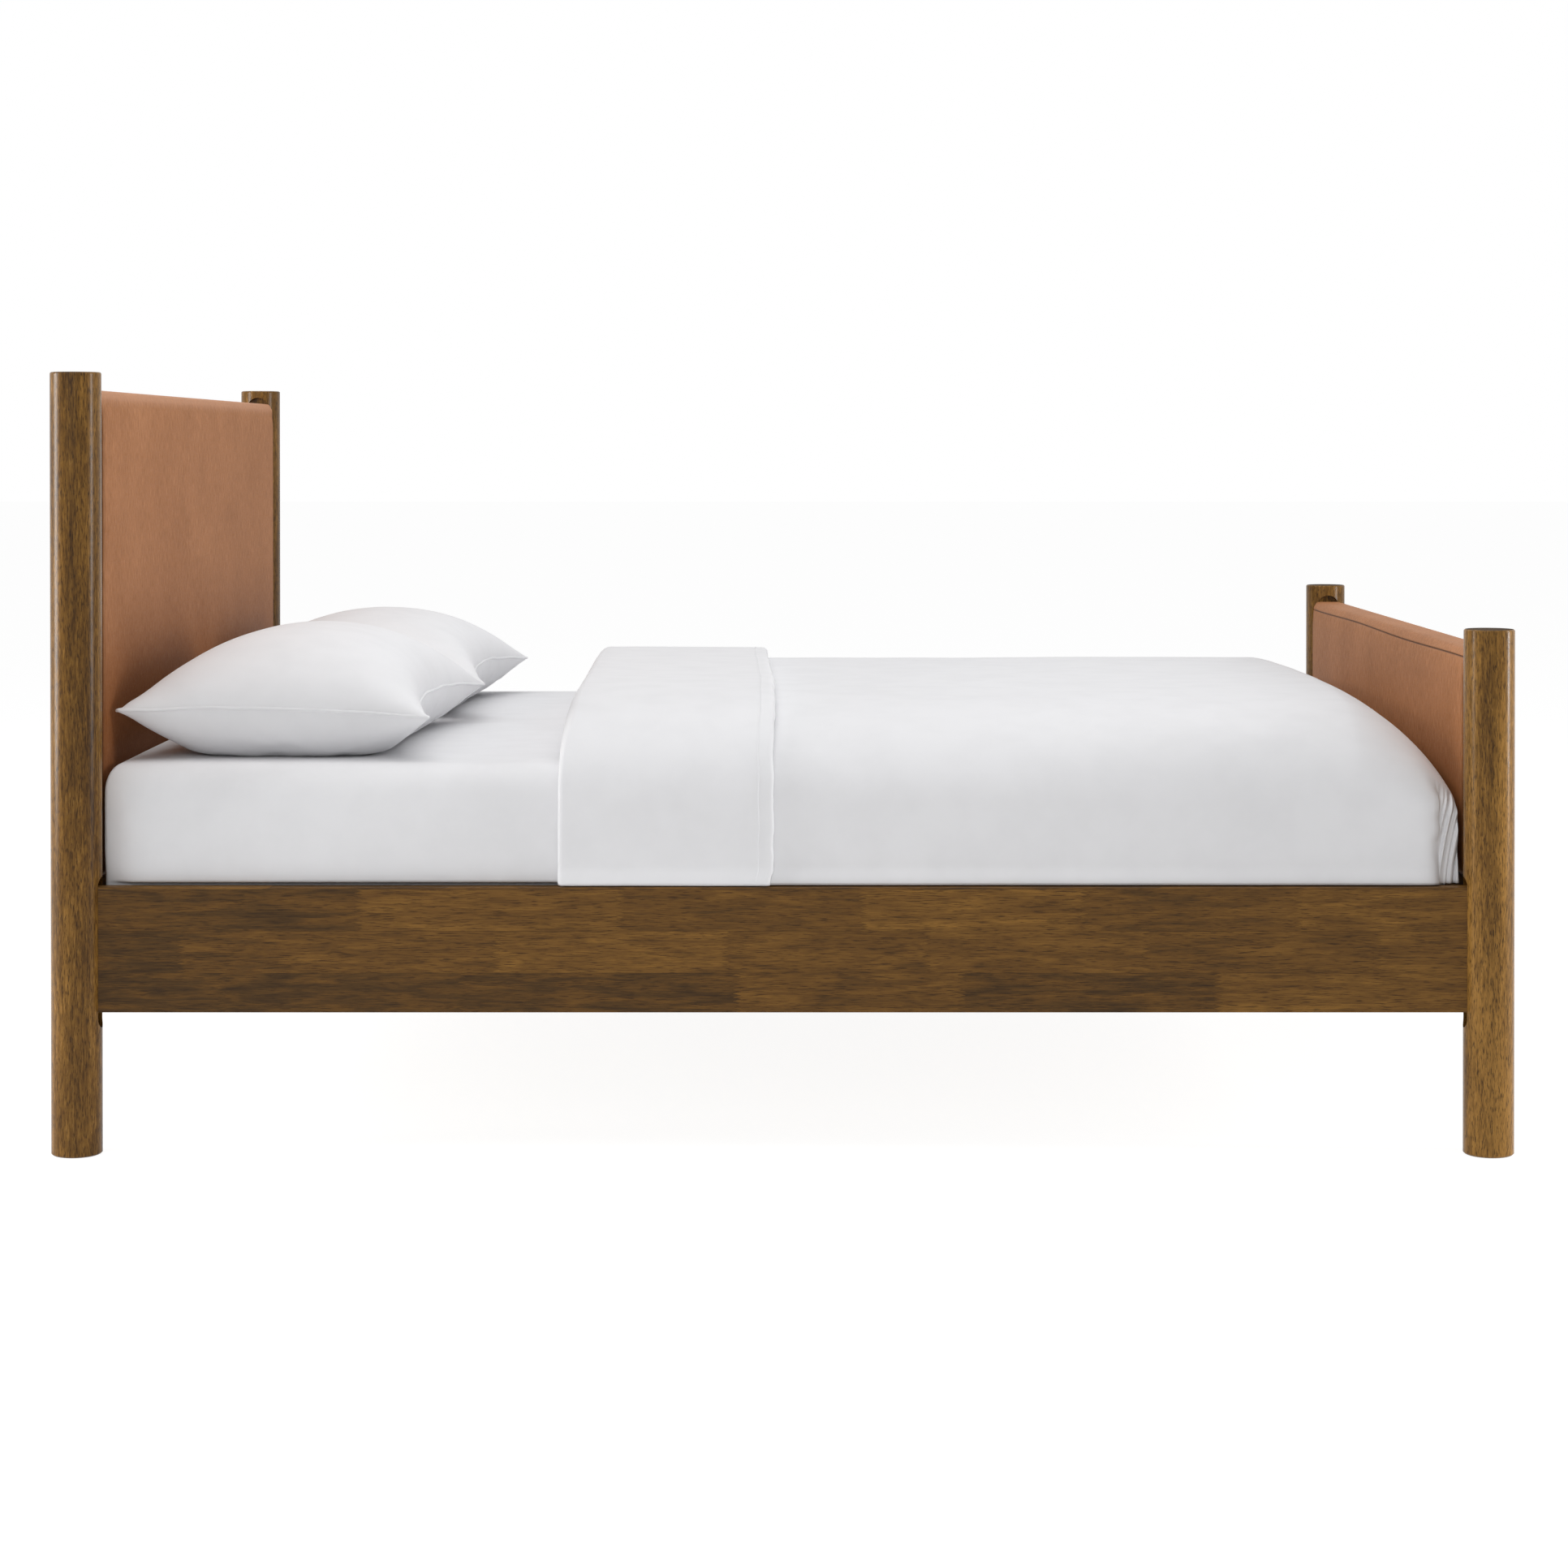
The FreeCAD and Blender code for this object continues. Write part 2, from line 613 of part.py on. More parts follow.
# Slat deck
def make_cleat(name, side):
    """Strip along the inside of a side rail that carries the slat ends."""
    body = new_body(name)
    y0, y1 = signed(side, CLEAT_INNER_Y), signed(side, RAIL_INNER_Y)
    low = f"{SLAT_BOTTOM} - cleat_height"
    loop = rect(y0, low, y1, SLAT_BOTTOM) if side > 0 else rect(y1, low, y0, SLAT_BOTTOM)
    solid = pad(body, "YZ", "0", f"2 * {CLEAT_HALF}", 0, [loop])
    soften(body, solid, runs_along("x"), "cleat_edge_round")
    holes = [(x, CLEAT_SCREW_Z, "cleat_screw_diameter / 2 + screw_fit") for x in cleat_screw_xs()]
    pocket(body, "XZ", signed(side, f"{CLEAT_INNER_Y} - 1"), "cleat_width + 2", side, circles=holes)
    ends = (slat_x(0), slat_x(int(num("slat_count")) - 1))
    bores = [(x, signed(side, SLAT_SCREW_Y), "plate_screw_diameter / 2 + screw_fit") for x in ends]
    pocket(body, "XY", SLAT_BOTTOM, "slat_screw_length - slat_thickness + 1", -1, circles=bores)
    return body


def slat_x(index):
    """Where a slat's middle stands along the bed."""
    count = int(num("slat_count"))
    return f"(({CLEAT_HALF} - slat_width / 2) * {2 * index / (count - 1) - 1:.6f})"


def make_slat(index):
    """One slat across the bed; the end ones have holes for their screws."""
    body = new_body("slat_%02d" % (index + 1))
    half = "slat_width / 2"
    solid = pad(body, "XZ", "0", f"2 * ({RAIL_INNER_Y} - slat_end_gap)", 0,
                [rect(f"-{half}", SLAT_BOTTOM, half, DECK)])
    soft = soften(body, solid, runs_along("y"), "slat_edge_round")
    if index in (0, int(num("slat_count")) - 1):
        bore = "plate_screw_diameter / 2 + screw_fit"
        holes = pocket(body, "XY", f"{DECK} + 1", "slat_thickness + 2", -1,
                       circles=[("0", s + SLAT_SCREW_Y, bore) for s in ("", "-")])
        soften(body, holes, round_at("z", num(DECK)),
               "(plate_screw_head - plate_screw_diameter) / 2", "Chamfer")
    place(body, x=slat_x(index))
    return body


def make_webbing(name, side):
    """Flat strap under the slats that keeps them evenly apart."""
    strap = DOC.addObject("Part::Box", name)
    strap.Label = name
    reach = f"({CLEAT_HALF} - slat_edge_round)"
    strap.setExpression("Length", bound(f"2 * {reach}"))
    strap.setExpression("Width", bound("webbing_width"))
    strap.setExpression("Height", bound("webbing_thickness"))
    place(strap, f"-{reach}", signed(side, "webbing_offset") + " - webbing_width / 2",
          f"{SLAT_BOTTOM} - webbing_thickness")
    return strap


def make_beam():
    """Beam down the middle of the bed under the slats."""
    body = new_body("middle_beam")
    half = "beam_width / 2"
    solid = pad(body, "YZ", "0", f"2 * ({RAIL_INNER_X} - steel_gauge - hanger_fit)", 0,
                [rect(f"-{half}", f"{SLAT_BOTTOM} - beam_height", half, SLAT_BOTTOM)])
    soften(body, solid, runs_along("x"), "rail_edge_round")
    return body


def make_hanger(name, end):
    """Steel saddle on a cross rail that holds one end of the beam."""
    body = new_body(name)
    low = f"({SLAT_BOTTOM} - beam_height - steel_gauge)"
    high = f"({low} + hanger_height)"
    inner = "(beam_width / 2 + hanger_fit)"
    outer = f"({inner} + steel_gauge)"
    wide = f"({outer} + hanger_flange)"
    face = signed(end, RAIL_INNER_X)
    plate = pad(body, "YZ", face, "steel_gauge", -end, [rect(f"-{wide}", low, wide, high)])
    soften(body, plate, runs_along("x"), "steel_gauge")
    cup = [(f"-{outer}", low), (outer, low), (outer, high), (inner, high), (inner, f"{low} + steel_gauge"),
           (f"-{inner}", f"{low} + steel_gauge"), (f"-{inner}", high), (f"-{outer}", high)]
    pad(body, "YZ", face, "hanger_depth", -end, [cup])
    holes = [(y, z, "hanger_screw_diameter / 2 + screw_fit") for y, z in hanger_screws()]
    pocket(body, "YZ", signed(end, f"{RAIL_INNER_X} + 1"), "steel_gauge + 2", -end, circles=holes)
    return body


# Leather panels: a wooden frame, a foam sleeve over it and a leather cover over that
def panel_section(panel_top, grow="0"):
    return crowned("panel_thickness / 2", PANEL_BOTTOM, panel_top, "panel_crown", "panel_edge_round",
                   "panel_low_round", grow)


def core_top(panel_top):
    return f"({panel_top} - leather_thickness - core_margin)"


def make_core(name, end, panel_top):
    """Frame of stiles and rails; its two ends are the tongues in the post grooves."""
    body = new_body(name)
    reach = f"({HALF_Y} - {POST_R} + groove_depth - groove_fit)"
    high = core_top(panel_top)
    solid = pad(body, "YZ", "0", "core_thickness", 0, [rect(f"-{reach}", CORE_BOTTOM, reach, high)])
    soften(body, solid, runs_along("y"), "rail_edge_round")
    low_in, high_in = f"{CORE_BOTTOM} + core_stile", f"{high} - core_stile"
    far, near = f"({reach} - core_stile)", "(core_stile / 2)"
    windows = [rect(near, low_in, far, high_in), rect(f"-{far}", low_in, f"-{near}", high_in)]
    pocket(body, "YZ", "core_thickness", "2 * core_thickness", -1, windows)
    place(body, x=signed(end, HALF_X))
    return body


def make_sleeve(name, end, outer, inner, post_gap):
    """A sleeve round the panel frame, its ends hollowed to follow the posts."""
    body = new_body(name)
    pad(body, "XZ", "0", f"2 * ({HALF_Y} - {POST_R} / 2)", 0, [outer, inner])
    cope = f"{POST_R} + {post_gap}"
    pocket(body, "XY", "head_post_height + 10", "head_post_height + 20", -1,
           circles=[("0", HALF_Y, cope), ("0", f"-{HALF_Y}", cope)])
    place(body, x=signed(end, HALF_X))
    return body


def make_panel(end_name, end, panel_top):
    """Frame, foam and leather of one panel."""
    half, high = "(core_thickness / 2 + layer_fit)", core_top(panel_top)
    hollow = rect(f"-{half}", f"{CORE_BOTTOM} - layer_fit", half, f"{high} + layer_fit")
    lining = panel_section(panel_top, "-leather_thickness")
    padding = panel_section(panel_top, "-(leather_thickness + layer_fit)")
    cover = panel_section(panel_top)
    return [make_core(end_name + "_panel_frame", end, panel_top),
            make_sleeve(end_name + "_panel_foam", end, padding, hollow, "(2 * panel_post_gap)"),
            make_sleeve(end_name + "_panel_leather", end, cover, lining, "panel_post_gap")]


# Mattress and its fitted sheet
def bedding_block(name, grow):
    """Crowned block in the shape of the mattress, larger all round by grow."""
    body = new_body(name)
    section = crowned("mattress_width / 2", MATTRESS_LOW, MATTRESS_TOP, "mattress_crown", "mattress_edge",
                      "mattress_edge", grow)
    length = f"mattress_length + 2 * {grow}"
    block = pad(body, "YZ", MATTRESS_MID, length, 0, [section])
    ends = [num(f"{MATTRESS_HEAD} - {grow}"), num(f"{MATTRESS_FOOT} + {grow}")]

    def at_end(edge):
        xs = [v.X for v in edge.Vertexes]
        return any(max(abs(x - e) for x in xs) < 0.01 for e in ends)

    soften(body, block, at_end, f"mattress_end_round + {grow}")
    return body


def cut(name, base, tool):
    piece = DOC.addObject("Part::Cut", name)
    piece.Label = name
    piece.Base, piece.Tool = base, tool
    DOC.recompute()
    return piece


def make_fitted_sheet():
    """Thin cover over the mattress that turns in under its bottom edge."""
    outer = bedding_block("sheet_outside", SHEET_LAYER)
    inner = bedding_block("sheet_inside", "sheet_fit")
    window = DOC.addObject("Part::Box", "sheet_window")
    window.setExpression("Length", bound("mattress_length - 2 * sheet_return"))
    window.setExpression("Width", bound("mattress_width - 2 * sheet_return"))
    window.setExpression("Height", bound("mattress_height / 2"))
    place(window, f"{MATTRESS_HEAD} + sheet_return", "-(mattress_width / 2 - sheet_return)",
          f"{DECK} - mattress_height / 4")
    return cut("fitted_sheet", cut("sheet_skin", outer, inner), window)


# Duvet: lies over the mattress and hangs down its two sides and its foot
def point(x, y, z):
    return FreeCAD.Vector(x, y, z)


def cover_section(x, side, hem, shoulder, top):
    """Section across the bed: straight drops, rolled shoulders and a crowned top."""
    roll, edge = num("duvet_roll"), top - num("duvet_crown")
    bend_y, bend_z = side - 0.29 * roll, shoulder + 0.71 * (edge - shoulder)
    flat = side - roll
    corners = [point(x, -side, hem), point(x, -side, shoulder), point(x, -flat, edge),
               point(x, flat, edge), point(x, side, shoulder), point(x, side, hem)]
    parts = [
        Part.makeLine(corners[0], corners[1]),
        Part.Arc(corners[1], point(x, -bend_y, bend_z), corners[2]).toShape(),
        Part.Arc(corners[2], point(x, 0, top), corners[3]).toShape(),
        Part.Arc(corners[3], point(x, bend_y, bend_z), corners[4]).toShape(),
        Part.makeLine(corners[4], corners[5]),
        Part.makeLine(corners[5], corners[0]),
    ]
    return Part.Wire(parts)


def fall(share):
    """How far a quarter-round edge has dropped, from 0 to 1, at a share of its run."""
    return 1 - math.sqrt(max(0, 1 - share * share))


def make_duvet():
    """Duvet with its head end turned back into a cuff, as one piece."""
    top = num(f"{BED_TOP} + duvet_loft")
    hem = num(f"{RAIL_TOP} + duvet_hem_gap")
    shoulder = top - num("duvet_shoulder")
    side = num(f"mattress_width / 2 + {SHEET_LAYER} + duvet_drop_thickness")
    head = num(f"{MATTRESS_HEAD} + duvet_start")
    foot = num(f"{MATTRESS_FOOT} + {SHEET_LAYER} + duvet_foot_thickness")
    run, drop, turn = num("duvet_foot_run"), num("duvet_foot_drop"), num("duvet_corner_round")
    cuff, thick, proud = num("cuff_width"), num("cuff_thickness"), num("cuff_side_thickness")
    nose, nose_drop = num("cuff_nose_run"), num("cuff_nose_drop")
    middle = head + cuff
    shares = (0, 0.3, 0.5, 0.68, 0.82, 0.92, 0.98, 1)
    sections = [cover_section(head + nose, side, hem, shoulder, top)]
    for share in shares:
        low, tuck = drop * fall(share), turn * fall(max(0, share - 0.68) / 0.32)
        sections.append(cover_section(foot - run * (1 - share), side - tuck, hem, shoulder - low / 4, top - low))
    under = Part.makeLoft(sections, True, True)
    folds = []
    for share in reversed(shares):
        low = nose_drop * fall(share)
        folds.append(cover_section(head + nose * (1 - share), side + proud * (1 - fall(share)), hem,
                                   shoulder - low / 4, top + thick - low))
    for share in (0, 0.5, 0.87, 1):
        low = thick * 0.6 * fall(share)
        folds.append(cover_section(middle - thick * (1 - share), side + proud * (1 - fall(share) / 2), hem,
                                   shoulder, top + thick - low))
    over = Part.makeLoft(folds, True, True)
    inside = bedding_block("duvet_inside", f"({SHEET_LAYER} + duvet_fit)")
    room = inside.Shape.fuse(hollow_below(inside))
    duvet = DOC.addObject("Part::Feature", "duvet")
    duvet.Label = "duvet"
    duvet.Shape = under.fuse(over).cut(room).removeSplitter()
    return duvet


def hollow_below(inside):
    """The mattress block carried straight down, so that the duvet lifts off upwards."""
    box = inside.Shape.BoundBox
    return Part.makeBox(box.XLength, box.YLength, num("mattress_height") / 2,
                        point(box.XMin, box.YMin, num(MATTRESS_LOW)))


# Pillows: crowned, thin at the seam all round and drawn in between the corners
def make_pillow(name, side):
    half_y, half_x = num("pillow_length / 2"), num("pillow_depth / 2")
    mid_y = side * (half_y + num("pillow_gap / 2"))
    mid_x = num(f"-{PANEL_FACE} + pillow_head_gap") + half_x
    crown, under, pull = num("pillow_crown"), num("pillow_seam"), num("pillow_pull")
    dip = num("mattress_crown") * (mid_y / num("mattress_width / 2")) ** 2
    rest = num(f"{BED_TOP} + pillow_rest_gap") - dip
    seam = rest + under
    wires = []
    for t in (-1, -0.93, -0.8, -0.55, -0.2, 0.2, 0.55, 0.8, 0.93, 1):
        swell = max((1 - abs(t) ** 2.4) ** 0.62, 0.03)
        x0 = half_x - pull * (1 - t * t)
        y = mid_y + half_y * t
        left, right = point(mid_x - x0, y, seam), point(mid_x + x0, y, seam)
        up = Part.Arc(left, point(mid_x, y, seam + crown * swell), right).toShape()
        down = Part.Arc(right, point(mid_x, y, seam - under * swell), left).toShape()
        wires.append(Part.Wire([up, down]))
    pillow = DOC.addObject("Part::Feature", name)
    pillow.Label = name
    pillow.Shape = Part.makeLoft(wires, True, False)
    return pillow


def build():
    """Every piece of the bed."""
    pieces = []
    ends = (("head", -1, "head_post_height", HEAD_PANEL_TOP), ("foot", 1, "foot_post_height", FOOT_PANEL_TOP))
    sides = (("left", -1), ("right", 1))
    for end_name, end, height, panel_top in ends:
        for side_name, side in sides:
            tag = end_name + "_" + side_name
            pieces.append(make_post(end_name + "_post_" + side_name, -end, -side, height, panel_top))
            pieces.append(make_glide("glide_" + tag, -end, -side))
            pieces.append(make_post_plate("post_plate_" + tag, end, side))
            pieces.append(make_hook_plate("hook_plate_" + tag, end, side))
        pieces.append(make_cross_rail(end_name + "_cross_rail", end))
        pieces.append(make_hanger("beam_hanger_" + end_name, end))
        pieces += make_panel(end_name, end, panel_top)
    for side_name, side in sides:
        pieces.append(make_side_rail("side_rail_" + side_name, side))
        pieces.append(make_cleat("cleat_" + side_name, side))
        pieces.append(make_webbing("webbing_" + side_name, side))
        pieces.append(make_pillow("pillow_" + side_name, side))
    pieces.append(make_beam())
    pieces += [make_slat(i) for i in range(int(num("slat_count")))]
    pieces += make_plate_screws()
    pieces += [make_cleat_screws(), make_hanger_screws(), make_slat_screws()]
    pieces += [bedding_block("mattress", "0"), make_fitted_sheet(), make_duvet()]
    return pieces


def check_document():
    """Stop if any feature of the document has failed."""
    DOC.recompute()
    for item in DOC.Objects:
        bad = [s for s in item.State if s in ("Invalid", "Error")]
        if bad:
            raise RuntimeError("%s is %s" % (item.Label, bad))


def write(pieces):
    """Write each piece to a file of its own."""
    os.makedirs("parts", exist_ok=True)
    for piece in pieces:
        shape = piece.Shape
        if shape.isNull() or not shape.isValid() or shape.Volume <= 0:
            raise RuntimeError(piece.Label + " has no valid solid")
    for piece in pieces:
        piece.Shape.exportStep("parts/%s.step" % piece.Label)


PIECES = build()
check_document()
write(PIECES)
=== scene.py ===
import math

import bmesh
import bpy
import numpy as np
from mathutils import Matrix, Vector, noise


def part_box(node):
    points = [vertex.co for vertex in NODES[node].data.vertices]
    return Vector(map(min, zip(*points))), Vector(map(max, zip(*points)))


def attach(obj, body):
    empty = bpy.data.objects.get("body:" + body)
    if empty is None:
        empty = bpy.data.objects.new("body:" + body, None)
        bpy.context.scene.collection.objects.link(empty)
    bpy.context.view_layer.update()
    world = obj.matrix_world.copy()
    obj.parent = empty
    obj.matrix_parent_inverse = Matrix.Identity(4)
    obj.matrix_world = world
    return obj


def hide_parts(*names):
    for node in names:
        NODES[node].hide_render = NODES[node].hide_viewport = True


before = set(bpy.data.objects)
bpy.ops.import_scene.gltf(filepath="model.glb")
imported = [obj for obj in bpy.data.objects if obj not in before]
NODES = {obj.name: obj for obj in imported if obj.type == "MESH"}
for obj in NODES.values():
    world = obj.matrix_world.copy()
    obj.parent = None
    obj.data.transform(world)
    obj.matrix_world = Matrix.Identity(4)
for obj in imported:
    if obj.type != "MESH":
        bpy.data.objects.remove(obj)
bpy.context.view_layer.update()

# Platform bed: round oiled posts, jointed stave rails, leather head and foot panels, white bedding.
# Metres throughout: X runs from head to foot, Y across the bed, Z up. The near side of the bed is -Y.

# Colours
OIL_DARK, OIL_MID, OIL_LIGHT, END_GRAIN = "#3E2811", "#704F22", "#997036", "#1E150D"
STAVE_TONES = ("#362616", "#4F381C", "#654620", "#785527", "#8F672F")
PORE_DARK, JOINT_DARK = "#2A1B0E", "#241708"
PINE_LIGHT, PINE_DARK = "#D9BE93", "#B58F5E"
LEATHER_LIGHT, LEATHER_MID, LEATHER_DARK = "#B07950", "#9F6A42", "#8D5B34"
# Leather painted light: the rich dark brown is painted shade low on the inner faces, the pale tint a painted
# highlight along the top edge, and the near-black both the seam lines and painted shade at the ends by the
# posts.
LEATHER_PAINTED_SHADE, LEATHER_PAINTED_HIGHLIGHT, SEAM_AND_PAINTED_SHADE = "#5E3012", "#C6977A", "#2A1407"
COTTON_WHITE, COTTON_SHADE = "#E8E8EA", "#E5E5E7"
# The grey of the ticking is painted shade in its quilted valleys.
TICKING_WHITE, TICKING_VALLEY_SHADE = "#E6E5E0", "#D2D1CC"
ZINC_LIGHT, ZINC_DARK = "#C3C6C9", "#A3A6AA"
# The grey of the webbing is painted shade between its threads.
WEBBING_CREAM, WEBBING_THREAD_SHADE = "#D6D0C0", "#B7B09F"
NYLON_BLACK, FLOOR_WHITE = "#1B1B1C", "#F2F2F2"

# Sizes of the soft pieces
HEM = 0.405
SHEET_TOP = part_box("fitted_sheet")[1].z
DUVET_HEAD, DUVET_FOOT = -0.338, 1.0200
DUVET_TOP, DUVET_SHOULDER, DUVET_HALF = 0.665, 0.530, 0.784
CUFF_HEM, CUFF_RISE, CUFF_PROUD, CUFF_SKEW = -0.0135, 0.0205, 0.008, 0.036
FOOT_RUN, FOOT_DROP, DUVET_CLEAR = 0.119, 0.107, 0.0026
PILLOW_HALF_X, PILLOW_HALF_Y, PILLOW_SEAM, PILLOW_CROWN = 0.238, 0.352, 0.068, 0.120
PILLOW_WAIST_X, PILLOW_WAIST_Y, PILLOW_DEPTH = 0.046, 0.014, 0.150
PIPING, FLAP_HEM, HEM_BAND = 0.0026, 0.0015, 0.011
STITCH_PITCH, STITCH_LENGTH, THREAD = 0.0052, 0.0036, 0.0005
POST_RADIUS, POST_X, POST_Y, PANEL_GAP = 0.038, 1.062, 0.787, 0.0025


# Nodes
def linear(code):
    """Linear colour for an sRGB hex value."""
    shares = [int(code[i:i + 2], 16) / 255 for i in (1, 3, 5)]
    return tuple(s / 12.92 if s <= 0.04045 else ((s + 0.055) / 1.055) ** 2.4 for s in shares) + (1.0,)


def add(tree, kind, inputs=None, stops=None, **settings):
    """Adds a node with its settings; inputs are plain values, or the nodes or sockets that feed them."""
    made = tree.nodes.new(kind)
    for name, value in settings.items():
        setattr(made, name, value)
    for name, value in (inputs or {}).items():
        if isinstance(value, bpy.types.Node):
            value = value.outputs[0]
        if isinstance(value, bpy.types.NodeSocket):
            tree.links.new(value, made.inputs[name])
        else:
            made.inputs[name].default_value = value
    if stops:
        points = made.color_ramp.elements
        while len(points) < len(stops):
            points.new(1.0)
        for point, (place, code) in zip(points, stops):
            point.position, point.color = place, linear(code)
    return made


def calc(tree, operation, *values):
    return add(tree, "ShaderNodeMath", dict(enumerate(values)), operation=operation)


def stretched(tree, vector, factors):
    return add(tree, "ShaderNodeVectorMath", {0: vector, 1: factors}, operation="MULTIPLY")


def remap(tree, value, low, high, to_low, to_high):
    return add(tree, "ShaderNodeMapRange", {"Value": value, 1: low, 2: high, 3: to_low, 4: to_high})


def cloudy(tree, vector, scale, detail, **more):
    return add(tree, "ShaderNodeTexNoise", {"Vector": vector, "Scale": scale, "Detail": detail, **more})


def mixed(tree, share, first, second):
    return add(tree, "ShaderNodeMix", {0: share, 2: first, 3: second})


def tinted(tree, share, colour, code):
    """A colour mixed by a share towards an sRGB hex value."""
    tint = add(tree, "ShaderNodeMix", {0: share, 6: colour, 7: linear(code)}, data_type="RGBA")
    return tint.outputs[2]


def ramp(tree, value, *stops):
    return add(tree, "ShaderNodeValToRGB", {0: value}, stops=stops)


def raised(tree, height, strength, distance):
    return add(tree, "ShaderNodeBump", {"Height": height, "Strength": strength, "Distance": distance})


def new_material(name):
    """An empty material, its node tree and the socket for places on the object, in metres."""
    material = bpy.data.materials.new(name)
    material.use_nodes = True
    tree = material.node_tree
    tree.nodes.clear()
    return material, tree, add(tree, "ShaderNodeTexCoord").outputs["Object"]


def surfaced(material, inputs):
    """Closes a material with one principled surface."""
    tree = material.node_tree
    skin = add(tree, "ShaderNodeBsdfPrincipled", inputs)
    add(tree, "ShaderNodeOutputMaterial", {0: skin})
    return material


# Wood
def oiled_acacia_post():
    """Turned acacia under a satin oil: long grain, short dark pores, blotches, and dark end grain on top."""
    material, tree, place = new_material("oiled_acacia_post")
    tone = cloudy(tree, stretched(tree, place, (24.0, 24.0, 3.2)), 1.0, 4.0)
    grain = cloudy(tree, stretched(tree, place, (300.0, 300.0, 30.0)), 1.0, 5.0, Roughness=0.65, Distortion=0.4)
    pores = cloudy(tree, stretched(tree, place, (780.0, 780.0, 90.0)), 1.0, 2.0)
    length = add(tree, "ShaderNodeSeparateXYZ", {0: place}).outputs
    golden = remap(tree, length["X"], -1.06, 1.06, -0.03, 0.065)
    share = remap(tree, length["X"], -1.06, 1.06, 0.15, 1.0)
    # Painted light: the posts grow paler towards the floor, as if lit from below by light off the floor.
    painted_floor_light = remap(tree, length["Z"], 0.1, 0.7, 0.035, -0.035)
    warm = calc(tree, "MULTIPLY_ADD", painted_floor_light, share, golden)
    toned = calc(tree, "ADD", mixed(tree, 0.55, tone, grain), warm)
    colour = ramp(tree, toned, (0.34, OIL_DARK), (0.5, OIL_MID), (0.66, OIL_LIGHT))
    inked = tinted(tree, remap(tree, pores, 0.53, 0.64, 0.0, 0.75), colour, PORE_DARK)
    facing = add(tree, "ShaderNodeSeparateXYZ", {0: add(tree, "ShaderNodeNewGeometry").outputs["Normal"]})
    level = calc(tree, "ABSOLUTE", facing.outputs["Z"])
    sawn = remap(tree, level, 0.9, 0.98, 0.0, 0.85)
    gloss = remap(tree, grain, 0.3, 0.7, 0.20, 0.29)
    return surfaced(material, {
        "Base Color": tinted(tree, sawn, inked, END_GRAIN), "Roughness": mixed(tree, sawn, gloss, 0.95),
        "Normal": raised(tree, grain, 0.12, 0.0005), "IOR": 1.5, "Specular IOR Level": 0.14})


def jointed_acacia(name, along):
    """Acacia staves glued in three rows, finger-jointed end to end, each with its own tone and grain."""
    material, tree, place = new_material(name)
    axes = add(tree, "ShaderNodeSeparateXYZ", {0: place}).outputs
    run, up = axes[along], axes["Z"]
    row_start, row_height, stave_length, tooth, tooth_depth = 0.2116, 0.0628, 0.34, 0.0028, 0.013
    rows = calc(tree, "DIVIDE", calc(tree, "SUBTRACT", up, row_start), row_height)
    row = calc(tree, "FLOOR", rows)
    across = calc(tree, "PINGPONG", rows, 0.5)
    comb = calc(tree, "MULTIPLY_ADD", calc(tree, "PINGPONG", up, tooth), tooth_depth / tooth, run)
    row_shift = 7.37
    lengths = calc(tree, "DIVIDE", comb, stave_length)
    offset = calc(tree, "MULTIPLY_ADD", row, row_shift, lengths)
    cells = {"W": offset, "Scale": 1.0, "Randomness": 0.85}
    stave = add(tree, "ShaderNodeTexVoronoi", cells, voronoi_dimensions="1D").outputs["Color"]
    ends = add(tree, "ShaderNodeTexVoronoi", cells, voronoi_dimensions="1D", feature="DISTANCE_TO_EDGE")
    tint = add(tree, "ShaderNodeSeparateColor", {0: stave})
    stretch = (20.0, 400.0, 500.0) if along == "X" else (400.0, 20.0, 500.0)
    own_grain = stretched(tree, stave, (57.0, 31.0, 83.0))
    lines = add(tree, "ShaderNodeVectorMath", {0: place, 1: stretch, 2: own_grain}, operation="MULTIPLY_ADD")
    grain = cloudy(tree, lines, 1.0, 5.0, Roughness=0.65, Distortion=0.5)
    pores = cloudy(tree, stretched(tree, lines, (2.4, 2.2, 1.9)), 1.0, 2.0)
    figure = cloudy(tree, stretched(tree, lines, (0.42, 0.16, 0.13)), 1.0, 4.0, Distortion=1.0)
    smudge = cloudy(tree, stretched(tree, lines, (0.75, 0.24, 0.2)), 1.0, 4.0, Roughness=0.6, Distortion=0.8)
    spread = remap(tree, mixed(tree, 0.55, grain, figure), 0.34, 0.66, -0.30, 0.30)
    level = calc(tree, "MULTIPLY_ADD", tint, 0.42, 0.29)
    tones = [(0.25 * i, code) for i, code in enumerate(STAVE_TONES)]
    colour = ramp(tree, calc(tree, "ADD", level, spread), *tones)
    knot = remap(tree, smudge, 0.63, 0.74, 0.0, 0.7)
    pit = remap(tree, pores, 0.54, 0.66, 0.0, 0.7)
    inked = tinted(tree, calc(tree, "MAXIMUM", knot, pit), colour, PORE_DARK)
    glue_end = remap(tree, ends.outputs["Distance"], 0.0, 0.0032, 0.5, 0.0)
    glue_row = remap(tree, across, 0.0, 0.010, 0.45, 0.0)
    return surfaced(material, {
        "Base Color": tinted(tree, calc(tree, "MAXIMUM", glue_end, glue_row), inked, JOINT_DARK),
        "Roughness": remap(tree, grain, 0.3, 0.7, 0.36, 0.52),
        "Normal": raised(tree, grain, 0.25, 0.0006), "IOR": 1.5, "Specular IOR Level": 0.14})


